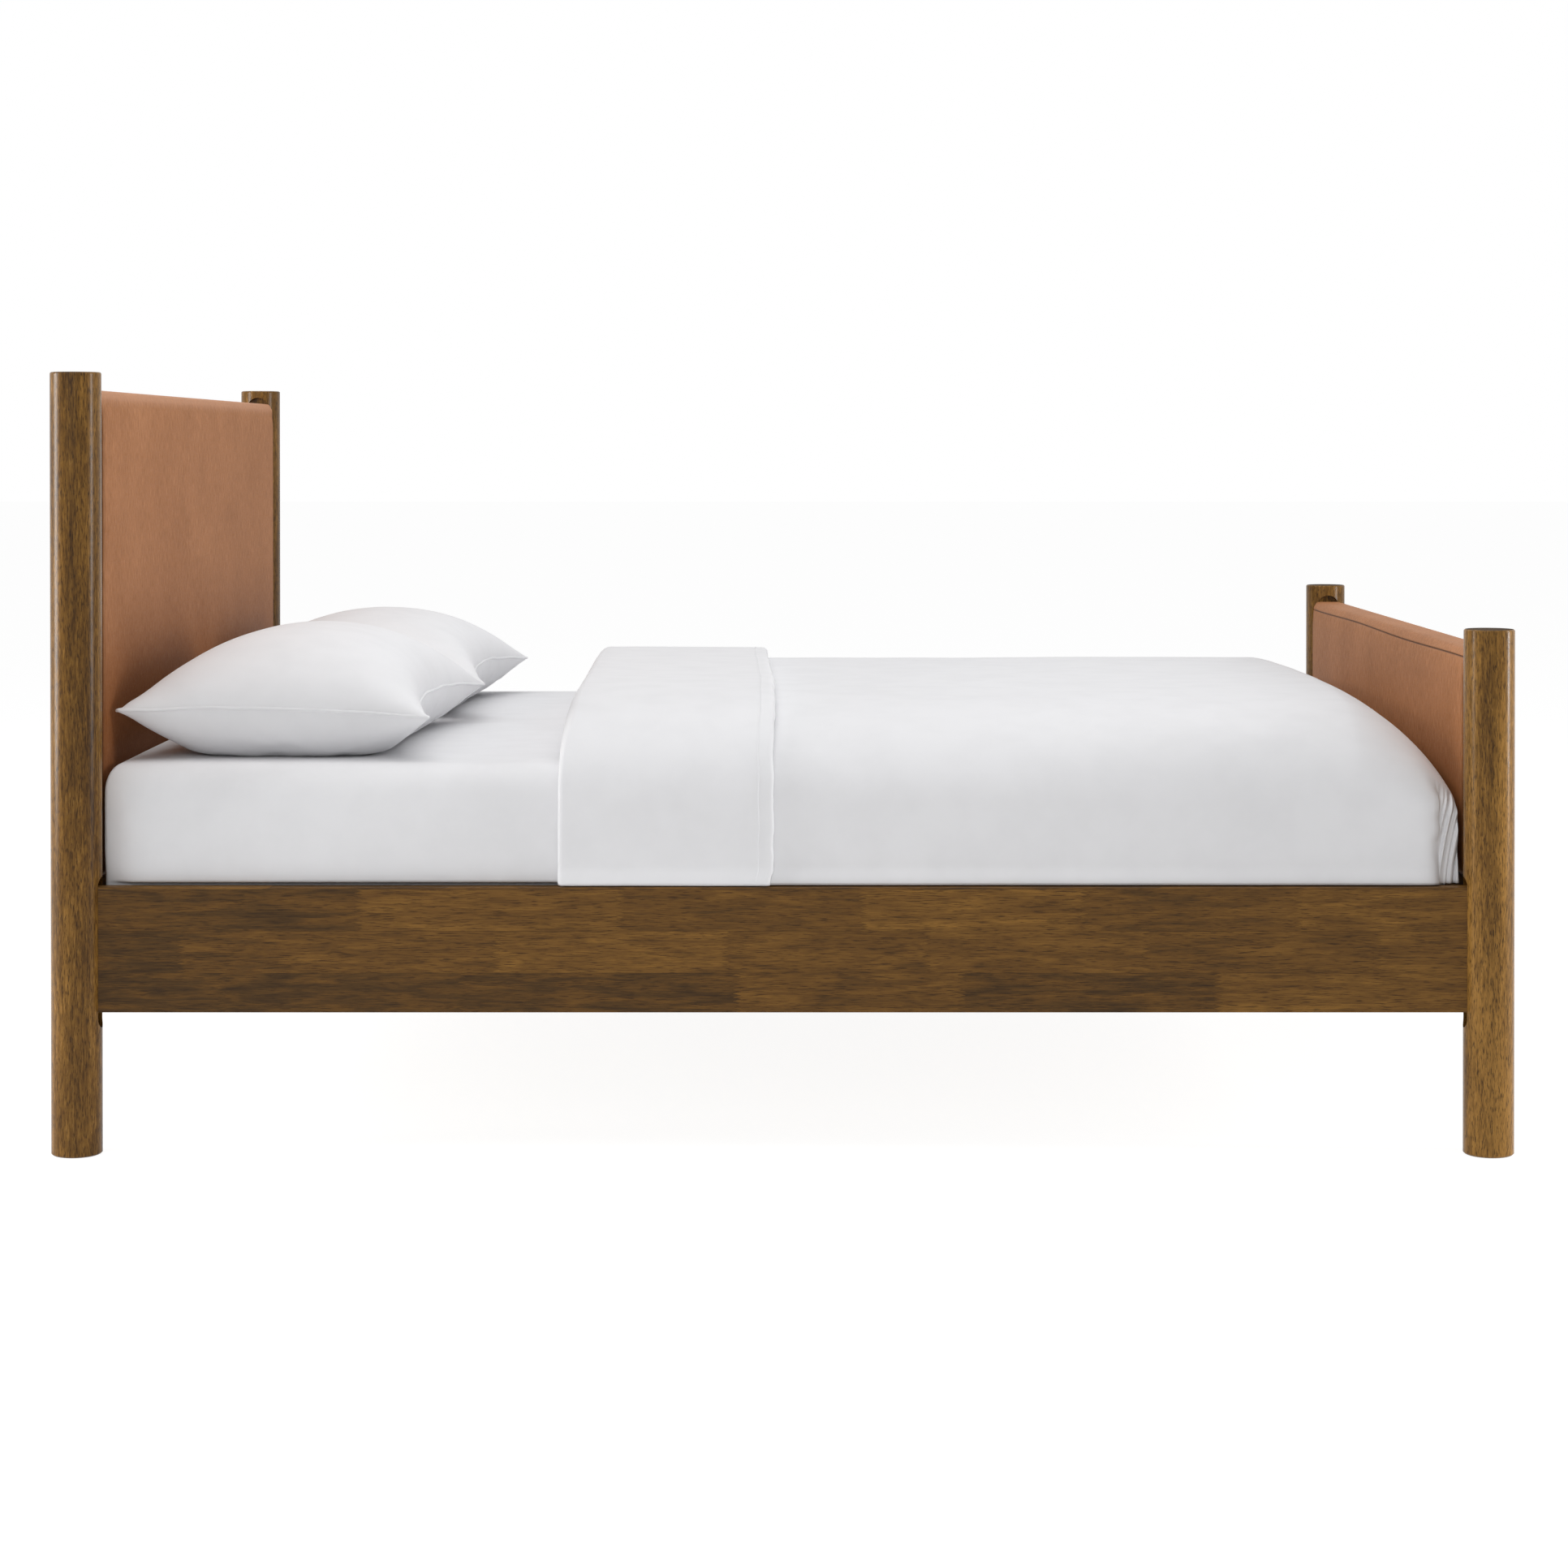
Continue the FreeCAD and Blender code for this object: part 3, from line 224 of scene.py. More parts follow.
def bare_pine(name, along):
    """Sanded softwood: pale yellow, with the darker late-wood lines of each year along the board."""
    material, tree, place = new_material(name)
    lines = stretched(tree, place, (1.5, 60.0, 60.0) if along == "X" else (60.0, 1.5, 60.0))
    years = cloudy(tree, lines, 1.0, 4.0, Distortion=0.8)
    hair = cloudy(tree, stretched(tree, lines, (12.0, 12.0, 12.0)), 1.0, 2.0)
    colour = ramp(tree, mixed(tree, 0.3, years, hair), (0.35, PINE_DARK), (0.62, PINE_LIGHT))
    return surfaced(material, {
        "Base Color": colour, "Normal": raised(tree, hair, 0.2, 0.0004), "Roughness": 0.62, "IOR": 1.5})


# Metal, webbing and plastic
def zinc_steel():
    """Pressed steel under bright zinc: grey, faintly clouded, with a soft metal sheen."""
    material, tree, place = new_material("zinc_steel")
    cloud = cloudy(tree, place, 160.0, 3.0)
    return surfaced(material, {
        "Base Color": ramp(tree, cloud, (0.35, ZINC_DARK), (0.65, ZINC_LIGHT)),
        "Roughness": remap(tree, cloud, 0.3, 0.7, 0.28, 0.45), "Metallic": 1.0})


def woven(tree, vector, scale, distortion, operation):
    """Threads that cross: ribs along and across a vector, put together by an operation."""
    ribs = {"Vector": vector, "Scale": scale, "Distortion": distortion}
    warp, weft = (add(tree, "ShaderNodeTexWave", ribs, bands_direction=way).outputs[1] for way in "XY")
    return calc(tree, operation, warp, weft)


def polyester_webbing():
    """Cream webbing woven in ribs 2 mm apart, matt, with painted grey shade between the threads."""
    material, tree, place = new_material("polyester_webbing")
    weave = woven(tree, place, 157.0, 0.6, "MULTIPLY")
    return surfaced(material, {
        "Base Color": ramp(tree, weave, (0.0, WEBBING_THREAD_SHADE), (0.6, WEBBING_CREAM)),
        "Normal": raised(tree, weave, 0.5, 0.0004), "Roughness": 0.8})


def moulded_nylon():
    """Black nylon with the fine dull texture of a moulded foot."""
    material, tree, place = new_material("moulded_nylon")
    grit = cloudy(tree, place, 1400.0, 2.0)
    return surfaced(material, {
        "Base Color": linear(NYLON_BLACK), "Roughness": remap(tree, grit, 0.3, 0.7, 0.42, 0.58),
        "Normal": raised(tree, grit, 0.3, 0.0002), "IOR": 1.53})


# Leather and cloth
def aniline_leather():
    """Tan hide with little finish: mottled, faint upright streaks, fine pebble, low sheen. Marks on the mesh
    paint shade onto it, darker and richer low on the inner faces and at the ends by the posts, and a paler
    highlight along the top edge."""
    material, tree, place = new_material("aniline_leather")
    cloud = cloudy(tree, place, 7.0, 4.0, Roughness=0.55)
    streak = cloudy(tree, stretched(tree, place, (420.0, 420.0, 55.0)), 1.0, 3.0)
    pebble = add(tree, "ShaderNodeTexVoronoi", {"Vector": place, "Scale": 520.0}, feature="SMOOTH_F1")
    crease = cloudy(tree, place, 240.0, 4.0)
    colour = ramp(tree, mixed(tree, 0.74, cloud, streak),
                  (0.36, LEATHER_DARK), (0.5, LEATHER_MID), (0.64, LEATHER_LIGHT))
    # Painted shade low on the inner faces, a painted highlight along the top edge, and dark seam lines with
    # painted shade at the ends by the posts.
    for mark, code in (("painted_shade", LEATHER_PAINTED_SHADE), ("pulled", LEATHER_PAINTED_HIGHLIGHT), ("seam", SEAM_AND_PAINTED_SHADE)):
        share = add(tree, "ShaderNodeAttribute", attribute_name=mark).outputs["Fac"]
        colour = tinted(tree, share, colour, code)
    return surfaced(material, {
        "Base Color": colour, "Roughness": remap(tree, crease, 0.3, 0.7, 0.46, 0.60),
        "Normal": raised(tree, mixed(tree, 0.6, pebble, crease), 0.15, 0.0005),
        "IOR": 1.45, "Specular IOR Level": 0.06})


def cotton_percale(name):
    """Plain-woven white cotton: matt, with a faint slub. The weave is drawn at 1.6 mm so that it shows."""
    material, tree, place = new_material(name)
    threads = woven(tree, add(tree, "ShaderNodeUVMap", uv_map="weave"), 196.0, 0.4, "ADD")
    colour = ramp(tree, cloudy(tree, place, 16.0, 3.0), (0.3, COTTON_SHADE), (0.6, COTTON_WHITE))
    return surfaced(material, {
        "Base Color": colour, "Normal": raised(tree, threads, 0.04, 0.0002), "Roughness": 0.9,
        "Specular IOR Level": 0.2})


def knitted_ticking():
    """Off-white knitted mattress cover, quilted in 60 mm waves with painted grey shade in the valleys."""
    material, tree, place = new_material("knitted_ticking")
    waves = {"Vector": place, "Scale": 5.2, "Distortion": 3.0, "Detail": 1.0}
    quilt = add(tree, "ShaderNodeTexWave", waves, bands_direction="DIAGONAL").outputs[1]
    knit = add(tree, "ShaderNodeTexVoronoi", {"Vector": place, "Scale": 420.0})
    return surfaced(material, {
        "Base Color": ramp(tree, quilt, (0.0, TICKING_VALLEY_SHADE), (0.35, TICKING_WHITE)),
        "Normal": raised(tree, mixed(tree, 0.15, quilt, knit), 0.5, 0.002), "Roughness": 0.85})


def sewing_thread(name, code):
    """Twisted sewing thread: matt, with a fine twist raised on it."""
    material, tree, place = new_material(name)
    twist = cloudy(tree, place, 900.0, 2.0)
    return surfaced(material, {
        "Base Color": linear(code), "Normal": raised(tree, twist, 0.4, 0.0002), "Roughness": 0.7})


POST_WOOD = oiled_acacia_post()
SIDE_STAVES = jointed_acacia("jointed_acacia_lengthwise", "X")
CROSS_STAVES = jointed_acacia("jointed_acacia_crosswise", "Y")
PINE_LENGTHWISE = bare_pine("bare_pine_lengthwise", "X")
PINE_CROSSWISE = bare_pine("bare_pine_crosswise", "Y")
ZINC, WEBBING, NYLON = zinc_steel(), polyester_webbing(), moulded_nylon()
LEATHER, TICKING = aniline_leather(), knitted_ticking()
SHEET_COTTON, DUVET_COTTON = cotton_percale("cotton_sheet"), cotton_percale("cotton_duvet_cover")
PILLOW_COTTON = cotton_percale("cotton_pillowcase")
WHITE_THREAD = sewing_thread("white_cotton_thread", COTTON_WHITE)


def dress_frame():
    """Gives every rigid CAD piece its finish."""
    for name, piece in NODES.items():
        if "_post_" in name:
            finish = POST_WOOD
        elif name.startswith("side_rail"):
            finish = SIDE_STAVES
        elif name.endswith("cross_rail"):
            finish = CROSS_STAVES
        elif name.startswith(("cleat_l", "cleat_r", "middle_beam")):
            finish = PINE_LENGTHWISE
        elif name.endswith("panel_frame") or (name.startswith("slat_") and name != "slat_screws"):
            finish = PINE_CROSSWISE
        elif name.startswith("webbing"):
            finish = WEBBING
        elif name.startswith("glide"):
            finish = NYLON
        else:
            finish = ZINC
        for index in range(len(piece.data.materials)):
            piece.data.materials[index] = finish


dress_frame()


# Mesh tools
def graded(low, high, band, fine, coarse):
    """Lines from low to high, close together within a band at each end."""
    edge = np.arange(0.0, band, fine)
    middle = np.linspace(low + band, high - band, max(2, int((high - low - 2 * band) / coarse) + 1))
    return np.concatenate([low + edge, middle, (high - edge)[::-1]])


def block_shell(xs, ys, zs):
    """Points and quads of a closed block, each side divided along the given lines."""
    lines, spots, faces = (xs, ys, zs), {}, []
    for axis in range(3):
        a, b = [n for n in range(3) if n != axis]
        for side in (0, len(lines[axis]) - 1):
            for p in range(len(lines[a]) - 1):
                for q in range(len(lines[b]) - 1):
                    quad = []
                    for dp, dq in ((0, 0), (1, 0), (1, 1), (0, 1)):
                        spot = [0, 0, 0]
                        spot[axis], spot[a], spot[b] = side, p + dp, q + dq
                        quad.append(spots.setdefault(tuple(spot), len(spots)))
                    faces.append(quad)
    points = np.array([[xs[i], ys[j], zs[k]] for i, j, k in spots])
    return points, faces


def round_edges(points, low, high, radius, square=2.0):
    """Rounds the edges of a block by a radius along each axis; a higher square keeps upright edges crisper."""
    low, high, radius = np.array(low), np.array(high), np.array(radius)
    inner = np.clip(points, low + radius, high - radius)
    reach = (points - inner) / radius
    flat = (np.abs(reach[:, 0]) ** square + np.abs(reach[:, 1]) ** square) ** (1 / square)
    size = np.hypot(flat, reach[:, 2])[:, None]
    return inner + radius * reach / np.maximum(size, 1e-9) * (size > 1e-6)


def smooth(edge0, edge1, value):
    """Eases from nought at one edge to one at the other."""
    share = np.clip((value - edge0) / (edge1 - edge0), 0.0, 1.0)
    return share * share * (3 - 2 * share)


def ripple(points, scale, seed=0.0):
    """Smooth noise from -1 to 1 at each point."""
    places = np.asarray(points) * scale + (seed, -seed, 0.0)
    return np.array([noise.noise(Vector(p)) for p in places])


def new_mesh(name, points, faces, weave=None, marks=None, holes=False):
    """A mesh with welded doubles and outward faces; weave is its cloth map in metres, marks are named shares
    for its material."""
    mesh = bpy.data.meshes.new(name)
    mesh.from_pydata([tuple(p) for p in points], [], [tuple(f) for f in faces])
    shell = bmesh.new()
    shell.from_mesh(mesh)
    shell.verts.ensure_lookup_table()
    if weave is not None:
        layer = shell.loops.layers.uv.new("weave")
        for face in shell.faces:
            for loop in face.loops:
                loop[layer].uv = weave[loop.vert.index]
    for mark, shares in (marks or {}).items():
        layer = shell.verts.layers.float.new(mark)
        for vert in shell.verts:
            vert[layer] = float(shares[vert.index])
    bmesh.ops.remove_doubles(shell, verts=shell.verts, dist=0.00002)
    bmesh.ops.dissolve_degenerate(shell, edges=shell.edges, dist=0.00001)
    if holes:
        bmesh.ops.holes_fill(shell, edges=[e for e in shell.edges if e.is_boundary], sides=0)
    bmesh.ops.recalc_face_normals(shell, faces=shell.faces)
    for face in shell.faces:
        face.smooth = True
    shell.to_mesh(mesh)
    shell.free()
    return mesh


def new_piece(name, mesh, body, material, stands_for=()):
    """Puts a finished mesh in the scene on a body of the frame."""
    piece = bpy.data.objects.new(name, mesh)
    bpy.context.scene.collection.objects.link(piece)
    mesh.materials.clear()
    mesh.materials.append(material)
    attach(piece, body)
    if stands_for:
        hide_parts(*stands_for)
    return piece


# Pieces that repeat or follow a path
def new_tree(name, sizes):
    """An empty geometry tree with a named input for each size, and its input and output nodes."""
    tree = bpy.data.node_groups.new(name, "GeometryNodeTree")
    tree.interface.new_socket("Geometry", in_out="INPUT", socket_type="NodeSocketGeometry")
    for size in sizes:
        tree.interface.new_socket(size, in_out="INPUT", socket_type="NodeSocketFloat")
    tree.interface.new_socket("Geometry", in_out="OUTPUT", socket_type="NodeSocketGeometry")
    return tree, add(tree, "NodeGroupInput"), add(tree, "NodeGroupOutput")


def finish_tree(tree, shape, material, end):
    """Closes a tree with smooth faces, real meshes and the material."""
    even = add(tree, "GeometryNodeSetShadeSmooth", {"Geometry": shape})
    real = add(tree, "GeometryNodeRealizeInstances", {"Geometry": even})
    dressed = add(tree, "GeometryNodeSetMaterial", {"Geometry": real, "Material": material})
    tree.links.new(dressed.outputs[0], end.inputs[0])
    return tree


def tube(tree, path, radius, sides):
    """A round bar or cord along a path."""
    ring = add(tree, "GeometryNodeCurvePrimitiveCircle", {"Resolution": sides, "Radius": radius})
    return add(tree, "GeometryNodeCurveToMesh", {"Curve": path, "Profile Curve": ring, "Fill Caps": True})


def piping_tree(material):
    """A round cord sewn in along a path."""
    tree, start, end = new_tree("sewn_piping", ["Cord radius", "Spacing"])
    line = add(tree, "GeometryNodeMeshToCurve", {"Mesh": start.outputs["Geometry"]})
    spacing = {"Curve": line, "Length": start.outputs["Spacing"]}
    even = add(tree, "GeometryNodeResampleCurve", spacing, mode="LENGTH")
    return finish_tree(tree, tube(tree, even, start.outputs["Cord radius"], 8), material, end)


def stitch_tree(material):
    """Single stitches laid end to end along a path, a thread's width apart."""
    tree, start, end = new_tree("stitch_row", ["Pitch", "Stitch length", "Thread radius"])
    line = add(tree, "GeometryNodeMeshToCurve", {"Mesh": start.outputs["Geometry"]})
    pitch = {"Curve": line, "Length": start.outputs["Pitch"]}
    spots = add(tree, "GeometryNodeCurveToPoints", pitch, mode="LENGTH").outputs
    halves = [calc(tree, "MULTIPLY", start.outputs["Stitch length"], way) for way in (-0.5, 0.5)]
    tail, head = (add(tree, "ShaderNodeCombineXYZ", {2: half}) for half in halves)
    span = add(tree, "GeometryNodeCurvePrimitiveLine", {"Start": tail, "End": head})
    stitch = tube(tree, span, start.outputs["Thread radius"], 6)
    row = add(tree, "GeometryNodeInstanceOnPoints", {
        "Points": spots["Points"], "Instance": stitch, "Rotation": spots["Rotation"]})
    return finish_tree(tree, row, material, end)


def staple_tree(material):
    """A wire staple at every point, its crown across the strap and its legs in the wood."""
    tree, start, end = new_tree("wire_staples", ["Crown width", "Leg length", "Wire radius"])
    sides = [calc(tree, "MULTIPLY", start.outputs["Crown width"], way) for way in (-0.5, 0.5)]
    tips = [add(tree, "ShaderNodeCombineXYZ", {1: side}) for side in sides]
    legs = [add(tree, "ShaderNodeCombineXYZ", {1: side, 2: start.outputs["Leg length"]}) for side in sides]
    whole = add(tree, "GeometryNodeJoinGeometry")
    for a, b in ((tips[0], tips[1]), (tips[0], legs[0]), (tips[1], legs[1])):
        wire = add(tree, "GeometryNodeCurvePrimitiveLine", {"Start": a, "End": b})
        tree.links.new(tube(tree, wire, start.outputs["Wire radius"], 6).outputs[0], whole.inputs[0])
    spots = add(tree, "GeometryNodeMeshToPoints", {"Mesh": start.outputs["Geometry"]})
    row = add(tree, "GeometryNodeInstanceOnPoints", {"Points": spots, "Instance": whole})
    return finish_tree(tree, row, material, end)


def grow_piece(name, tree, sizes, paths, body, material, closed=False):
    """Runs a tree along paths of points and keeps the result as one plain mesh on a body."""
    points, edges = [], []
    for path in paths:
        first = len(points)
        points += [tuple(p) for p in path]
        edges += [(first + i, first + i + 1) for i in range(len(path) - 1)]
        edges += [(len(points) - 1, first)] if closed else []
    mesh = bpy.data.meshes.new(name + "_path")
    mesh.from_pydata(points, edges, [])
    guide = bpy.data.objects.new(name + "_path", mesh)
    bpy.context.scene.collection.objects.link(guide)
    grown = guide.modifiers.new("Grown", "NODES")
    grown.node_group = tree
    for item in tree.interface.items_tree:
        if item.in_out == "INPUT" and item.name in sizes:
            grown[item.identifier] = sizes[item.name]
    plain = bpy.data.meshes.new_from_object(guide.evaluated_get(bpy.context.evaluated_depsgraph_get()))
    plain.name = name
    bpy.data.objects.remove(guide)
    bpy.data.meshes.remove(mesh)
    return new_piece(name, plain, body, material)


CASE_PIPING, HEM_STITCHES = piping_tree(PILLOW_COTTON), stitch_tree(WHITE_THREAD)
WIRE_STAPLES = staple_tree(ZINC)
STITCH_SIZES = {"Pitch": STITCH_PITCH, "Stitch length": STITCH_LENGTH, "Thread radius": THREAD}


def staple_webbing():
    """Two staples where each strap crosses a slat, from below."""
    spots = []
    for strap in ("webbing_left", "webbing_right"):
        low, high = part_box(strap)
        for number in range(1, 15):
            slat_low, slat_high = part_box("slat_%02d" % number)
            middle = (slat_low.x + slat_high.x) / 2
            spots += [[(middle + step, (low.y + high.y) / 2, low.z)] for step in (-0.016, 0.016)]
    sizes = {"Crown width": 0.012, "Leg length": 0.010, "Wire radius": 0.0006}
    grow_piece("webbing_staples", WIRE_STAPLES, sizes, spots, "frame", ZINC)


staple_webbing()


# Leather panels
def post_fit(off):
    """How far a panel reaches towards the posts, at a distance off their middle line, with a gap all round."""
    groove_half = 0.0335
    return POST_Y - np.sqrt((POST_RADIUS + PANEL_GAP) ** 2 - np.minimum(np.abs(off), groove_half) ** 2)


def leather_panel(end):
    """One padded panel, its ends hollowed to fit the posts, with the seams that the hide is joined by. Its
    marks hold painted shade low on the inner face and by the posts, and a painted highlight along the top edge.
    """
    sign = -1 if end == "head" else 1
    low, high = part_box(end + "_panel_leather")
    half_y, thick = high.y, high.x - low.x
    xs = np.linspace(low.x, high.x, 13)
    ys = graded(-half_y, half_y, 0.034, 0.0012, 0.022)
    seam_band = high.z - 0.044
    zs = np.concatenate([np.arange(low.z, seam_band, 0.012), np.arange(seam_band, high.z, 0.0009), [high.z]])
    points, faces = block_shell(xs, ys, zs)
    edge_radii, turned_band, seam_half = (0.016, 0.003, 0.015), 0.0150, 0.0011
    points = round_edges(points, low, high, edge_radii)
    out = (points[:, 0] - (low.x + high.x) / 2) / (thick / 2)
    reach = post_fit(points[:, 0] - sign * POST_X)
    y = points[:, 1] / half_y * reach
    z = points[:, 2]
    share_z = np.clip((z - low.z) / (high.z - low.z), 0, 1)
    swell = (1 - (np.abs(y) / half_y) ** 12) * (1 - np.abs(2 * share_z - 1) ** 10)
    face_out = np.sign(out) * smooth(0.7, 1.0, np.abs(out))
    wave = ripple(points, (3.0, 3.0, 3.0), 4.0)
    x = points[:, 0] + face_out * swell * (0.0016 + 0.0007 * wave)
    inner_side = smooth(0.2, 0.6, -sign * out)
    wander = 0.0022 * np.array([noise.noise(Vector((3.1, v * 9.0, 0.4))) for v in z])
    end_line = np.abs(y) - (reach - turned_band) - wander
    # Painted shade where the hide turns into the post groove and in a band 20 mm wide beside it, with a dark
    # seam line at the turn.
    turned = np.maximum(np.exp(-(end_line / 0.0022) ** 2), 0.85 * smooth(0.0, 0.002, end_line))
    turned = np.maximum(turned, 0.28 * smooth(-0.020, 0.0, end_line))
    seam = turned * inner_side * smooth(high.z - 0.010, high.z - 0.035, z)
    if end == "foot":
        top_seam, waver = high.z - 0.0145, 0.0012 * np.sin(y * 7.0)
        level = np.abs(z - top_seam - waver)
        seam = np.maximum(seam, np.exp(-(level / seam_half) ** 2) * inner_side)
    else:
        back_seam = high.z - 0.040
        level = np.abs(z - back_seam)
        seam = np.maximum(seam, np.exp(-(level / seam_half) ** 2) * smooth(0.2, 0.6, sign * out))
    roll = 1 - smooth(0.0, 0.013, reach - np.abs(y))
    lean = smooth(high.z - 0.055, high.z, z) ** 1.5
    x = x - face_out * (0.0022 * seam + 0.004 * roll ** 2 + 0.004 * lean)
    fit = post_fit(x - sign * POST_X)
    y = np.clip(y, -fit, fit)
    # Painted shade: darker and richer from the first height down to the second on the inner face, strongest on
    # the head panel.
    bare, painted_shade, depth, highlight_share = (0.90, 0.62, 0.62, 0.5) if end == "head" else (0.66, 0.50, 0.34, 0.14)
    marks = {"seam": np.clip(0.9 * seam, 0, 1), "painted_shade": depth * inner_side * smooth(bare, painted_shade, z),
             # Painted highlight: paler along the top edge, strongest on the head panel.
             "pulled": highlight_share * smooth(high.z - 0.026, high.z - 0.004, z)}
    mesh = new_mesh(end + "_leather_cover", np.column_stack([x, y, z]), faces, marks=marks)
    panel = new_piece(end + "_leather_cover", mesh, "frame", LEATHER,
                      (end + "_panel_leather", end + "_panel_foam"))
    return panel


leather_panel("head")
leather_panel("foot")


# Bedding at the foot end
def foot_roll(y, level):
    """How far back the duvet starts to fall towards the foot, and how far it falls."""
    run = FOOT_RUN + 0.040 * (y / DUVET_HALF) ** 2
    drop = (FOOT_DROP + 0.066 * y ** 2) * np.clip((level - 0.4913) / 0.20, 0, 1) ** 1.115
    return run, drop


def foot_fall(share):
    """The part of that fall reached at a share of the run."""
    return 1 - np.maximum(0.0, 1 - share ** 1.48) ** 0.7456


def cover_height(x, y):
    """Height of the duvet's upper face above a place on the bed."""
    rise = np.sqrt(np.maximum(0.0, 1 - np.abs(y / DUVET_HALF) ** 8))
    level = DUVET_SHOULDER + (DUVET_TOP - DUVET_SHOULDER) * rise
    run, drop = foot_roll(y, level)
    return level - drop * foot_fall(np.clip(1 - (DUVET_FOOT - x) / run, 0, 1))


def press_foot(x, y, z, room, floor):
    """Presses what lies under the duvet down and in at the foot corners, a given room below its upper face.
    What is at the floor level stays there."""
    share = np.minimum(1.0, (cover_height(x, y) - room - floor) / (SHEET_TOP - floor))
    share = 1 - (1 - share) * smooth(0.45, 0.65, x)
    inward = 0.034 * smooth(0.50, 0.763, np.abs(y)) * smooth(0.93, 1.01, x)
    return y - np.sign(y) * inward, floor + (z - floor) * share


# Mattress and fitted sheet
def side_swell(x, y, z):
    """How far the mattress's bare sides bulge out over the rails."""
    along = smooth(-0.20, -0.32, x) * smooth(-1.022, -0.97, x)
    up = smooth(0.4036, 0.4090, z) * (1 - 0.5 * smooth(0.48, 0.58, z))
    return 0.018 * np.sign(y) * along * up * smooth(0.70, 0.755, np.abs(y))


def bed_block(inset, radius, step):
    """The mattress shape, smaller all round by an inset, as points, quads and its box."""
    low, high = (Vector(c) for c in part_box("fitted_sheet"))
    low, high = low + Vector((inset,) * 3), high - Vector((inset,) * 3)
    crown = 0.005
    flat_top = high.z - crown
    round_off = (radius / 2, radius, radius)
    ends = (high.x, high.y, flat_top)
    lines = [graded(low[i], ends[i], round_off[i], round_off[i] / 7, step) for i in range(3)]
    rail_lines = [0.4036, 0.4050, 0.4063, 0.4076, 0.4090, 0.4120, 0.4200]
    lines[2] = np.unique(np.concatenate([lines[2], rail_lines]))
    points, faces = block_shell(*lines)
    points = round_edges(points, low, ends, round_off, square=10.0)
    upper = smooth(low.z + 0.12, flat_top - radius, points[:, 2])
    points[:, 2] += crown * (1 - (points[:, 1] / high.y) ** 2) * upper
    points[:, 0] -= 0.002 * smooth(-0.95, -1.01, points[:, 0]) * smooth(0.41, 0.45, points[:, 2])
    points[:, 1] += side_swell(*points.T)
    points[:, 1], points[:, 2] = press_foot(*points.T, 0.018 + inset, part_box("fitted_sheet")[0].z)
    return points, faces, low, high


def box_weave(points, low, high):
    """A cloth map in metres that unfolds the block's sides from its top."""
    past_x = np.maximum(points[:, 0] - high.x + 0.05, 0) - np.maximum(low.x + 0.05 - points[:, 0], 0)
    drop = high.z - points[:, 2]
    u = points[:, 0] + np.sign(past_x) * drop * (np.abs(past_x) > 0.04)
    v = points[:, 1] + np.sign(points[:, 1]) * drop * (np.abs(points[:, 1]) > high.y - 0.01)
    return np.column_stack([u, v])


def make_mattress():
    points, faces, low, high = bed_block(0.0012, 0.042, 0.025)
    mesh = new_mesh("mattress_core", points, faces)
    mattress = new_piece("mattress_core", mesh, "mattress", TICKING, ("mattress",))


def make_fitted_sheet():
    """Sheet pulled over the mattress and turned in under it, pressed in at the foot corners."""
    points, faces, low, high = bed_block(0.0, 0.042, 0.025)
    turn = 0.09
    kept = []
    for face in faces:
        middle = points[face].mean(axis=0)
        under = middle[2] < low.z + 0.002
        if not (under and low.x + turn < middle[0] < high.x - turn and abs(middle[1]) < high.y - turn):
            kept.append(face)
    weave = box_weave(points, low, high)
    mesh = new_mesh("sheet_cover", points, kept, weave=weave)
    sheet = new_piece("sheet_cover", mesh, "mattress", SHEET_COTTON, ("fitted_sheet",))
    wall = sheet.modifiers.new("Thickness", "SOLIDIFY")
    wall.thickness, wall.offset = 0.0007, -1.0


make_mattress()
make_fitted_sheet()


# Duvet
ACROSS = 241


def cover_line(half, shoulder, top, hem=HEM, power=8.0):
    """One line across the bed from hem to hem, over rolled shoulders, with evenly spaced points."""
    turn = np.sin(np.linspace(-math.pi / 2, math.pi / 2, 1201))
    y = half * turn
    z = shoulder + (top - shoulder) * np.sqrt(np.maximum(0.0, 1 - np.abs(turn) ** power))
    drop = np.linspace(hem, shoulder, 60)[:-1]
    y = np.concatenate([np.full(59, -half), y, np.full(59, half)])
    z = np.concatenate([drop, z, drop[::-1]])
    finer = np.where((z[1:] + z[:-1]) / 2 < 0.575, 2.8, 1.0)
    walked = np.concatenate([[0], np.cumsum(finer * np.hypot(np.diff(y), np.diff(z)))])
    even = np.linspace(0, walked[-1], ACROSS)
    return np.interp(even, walked, y), np.interp(even, walked, z)


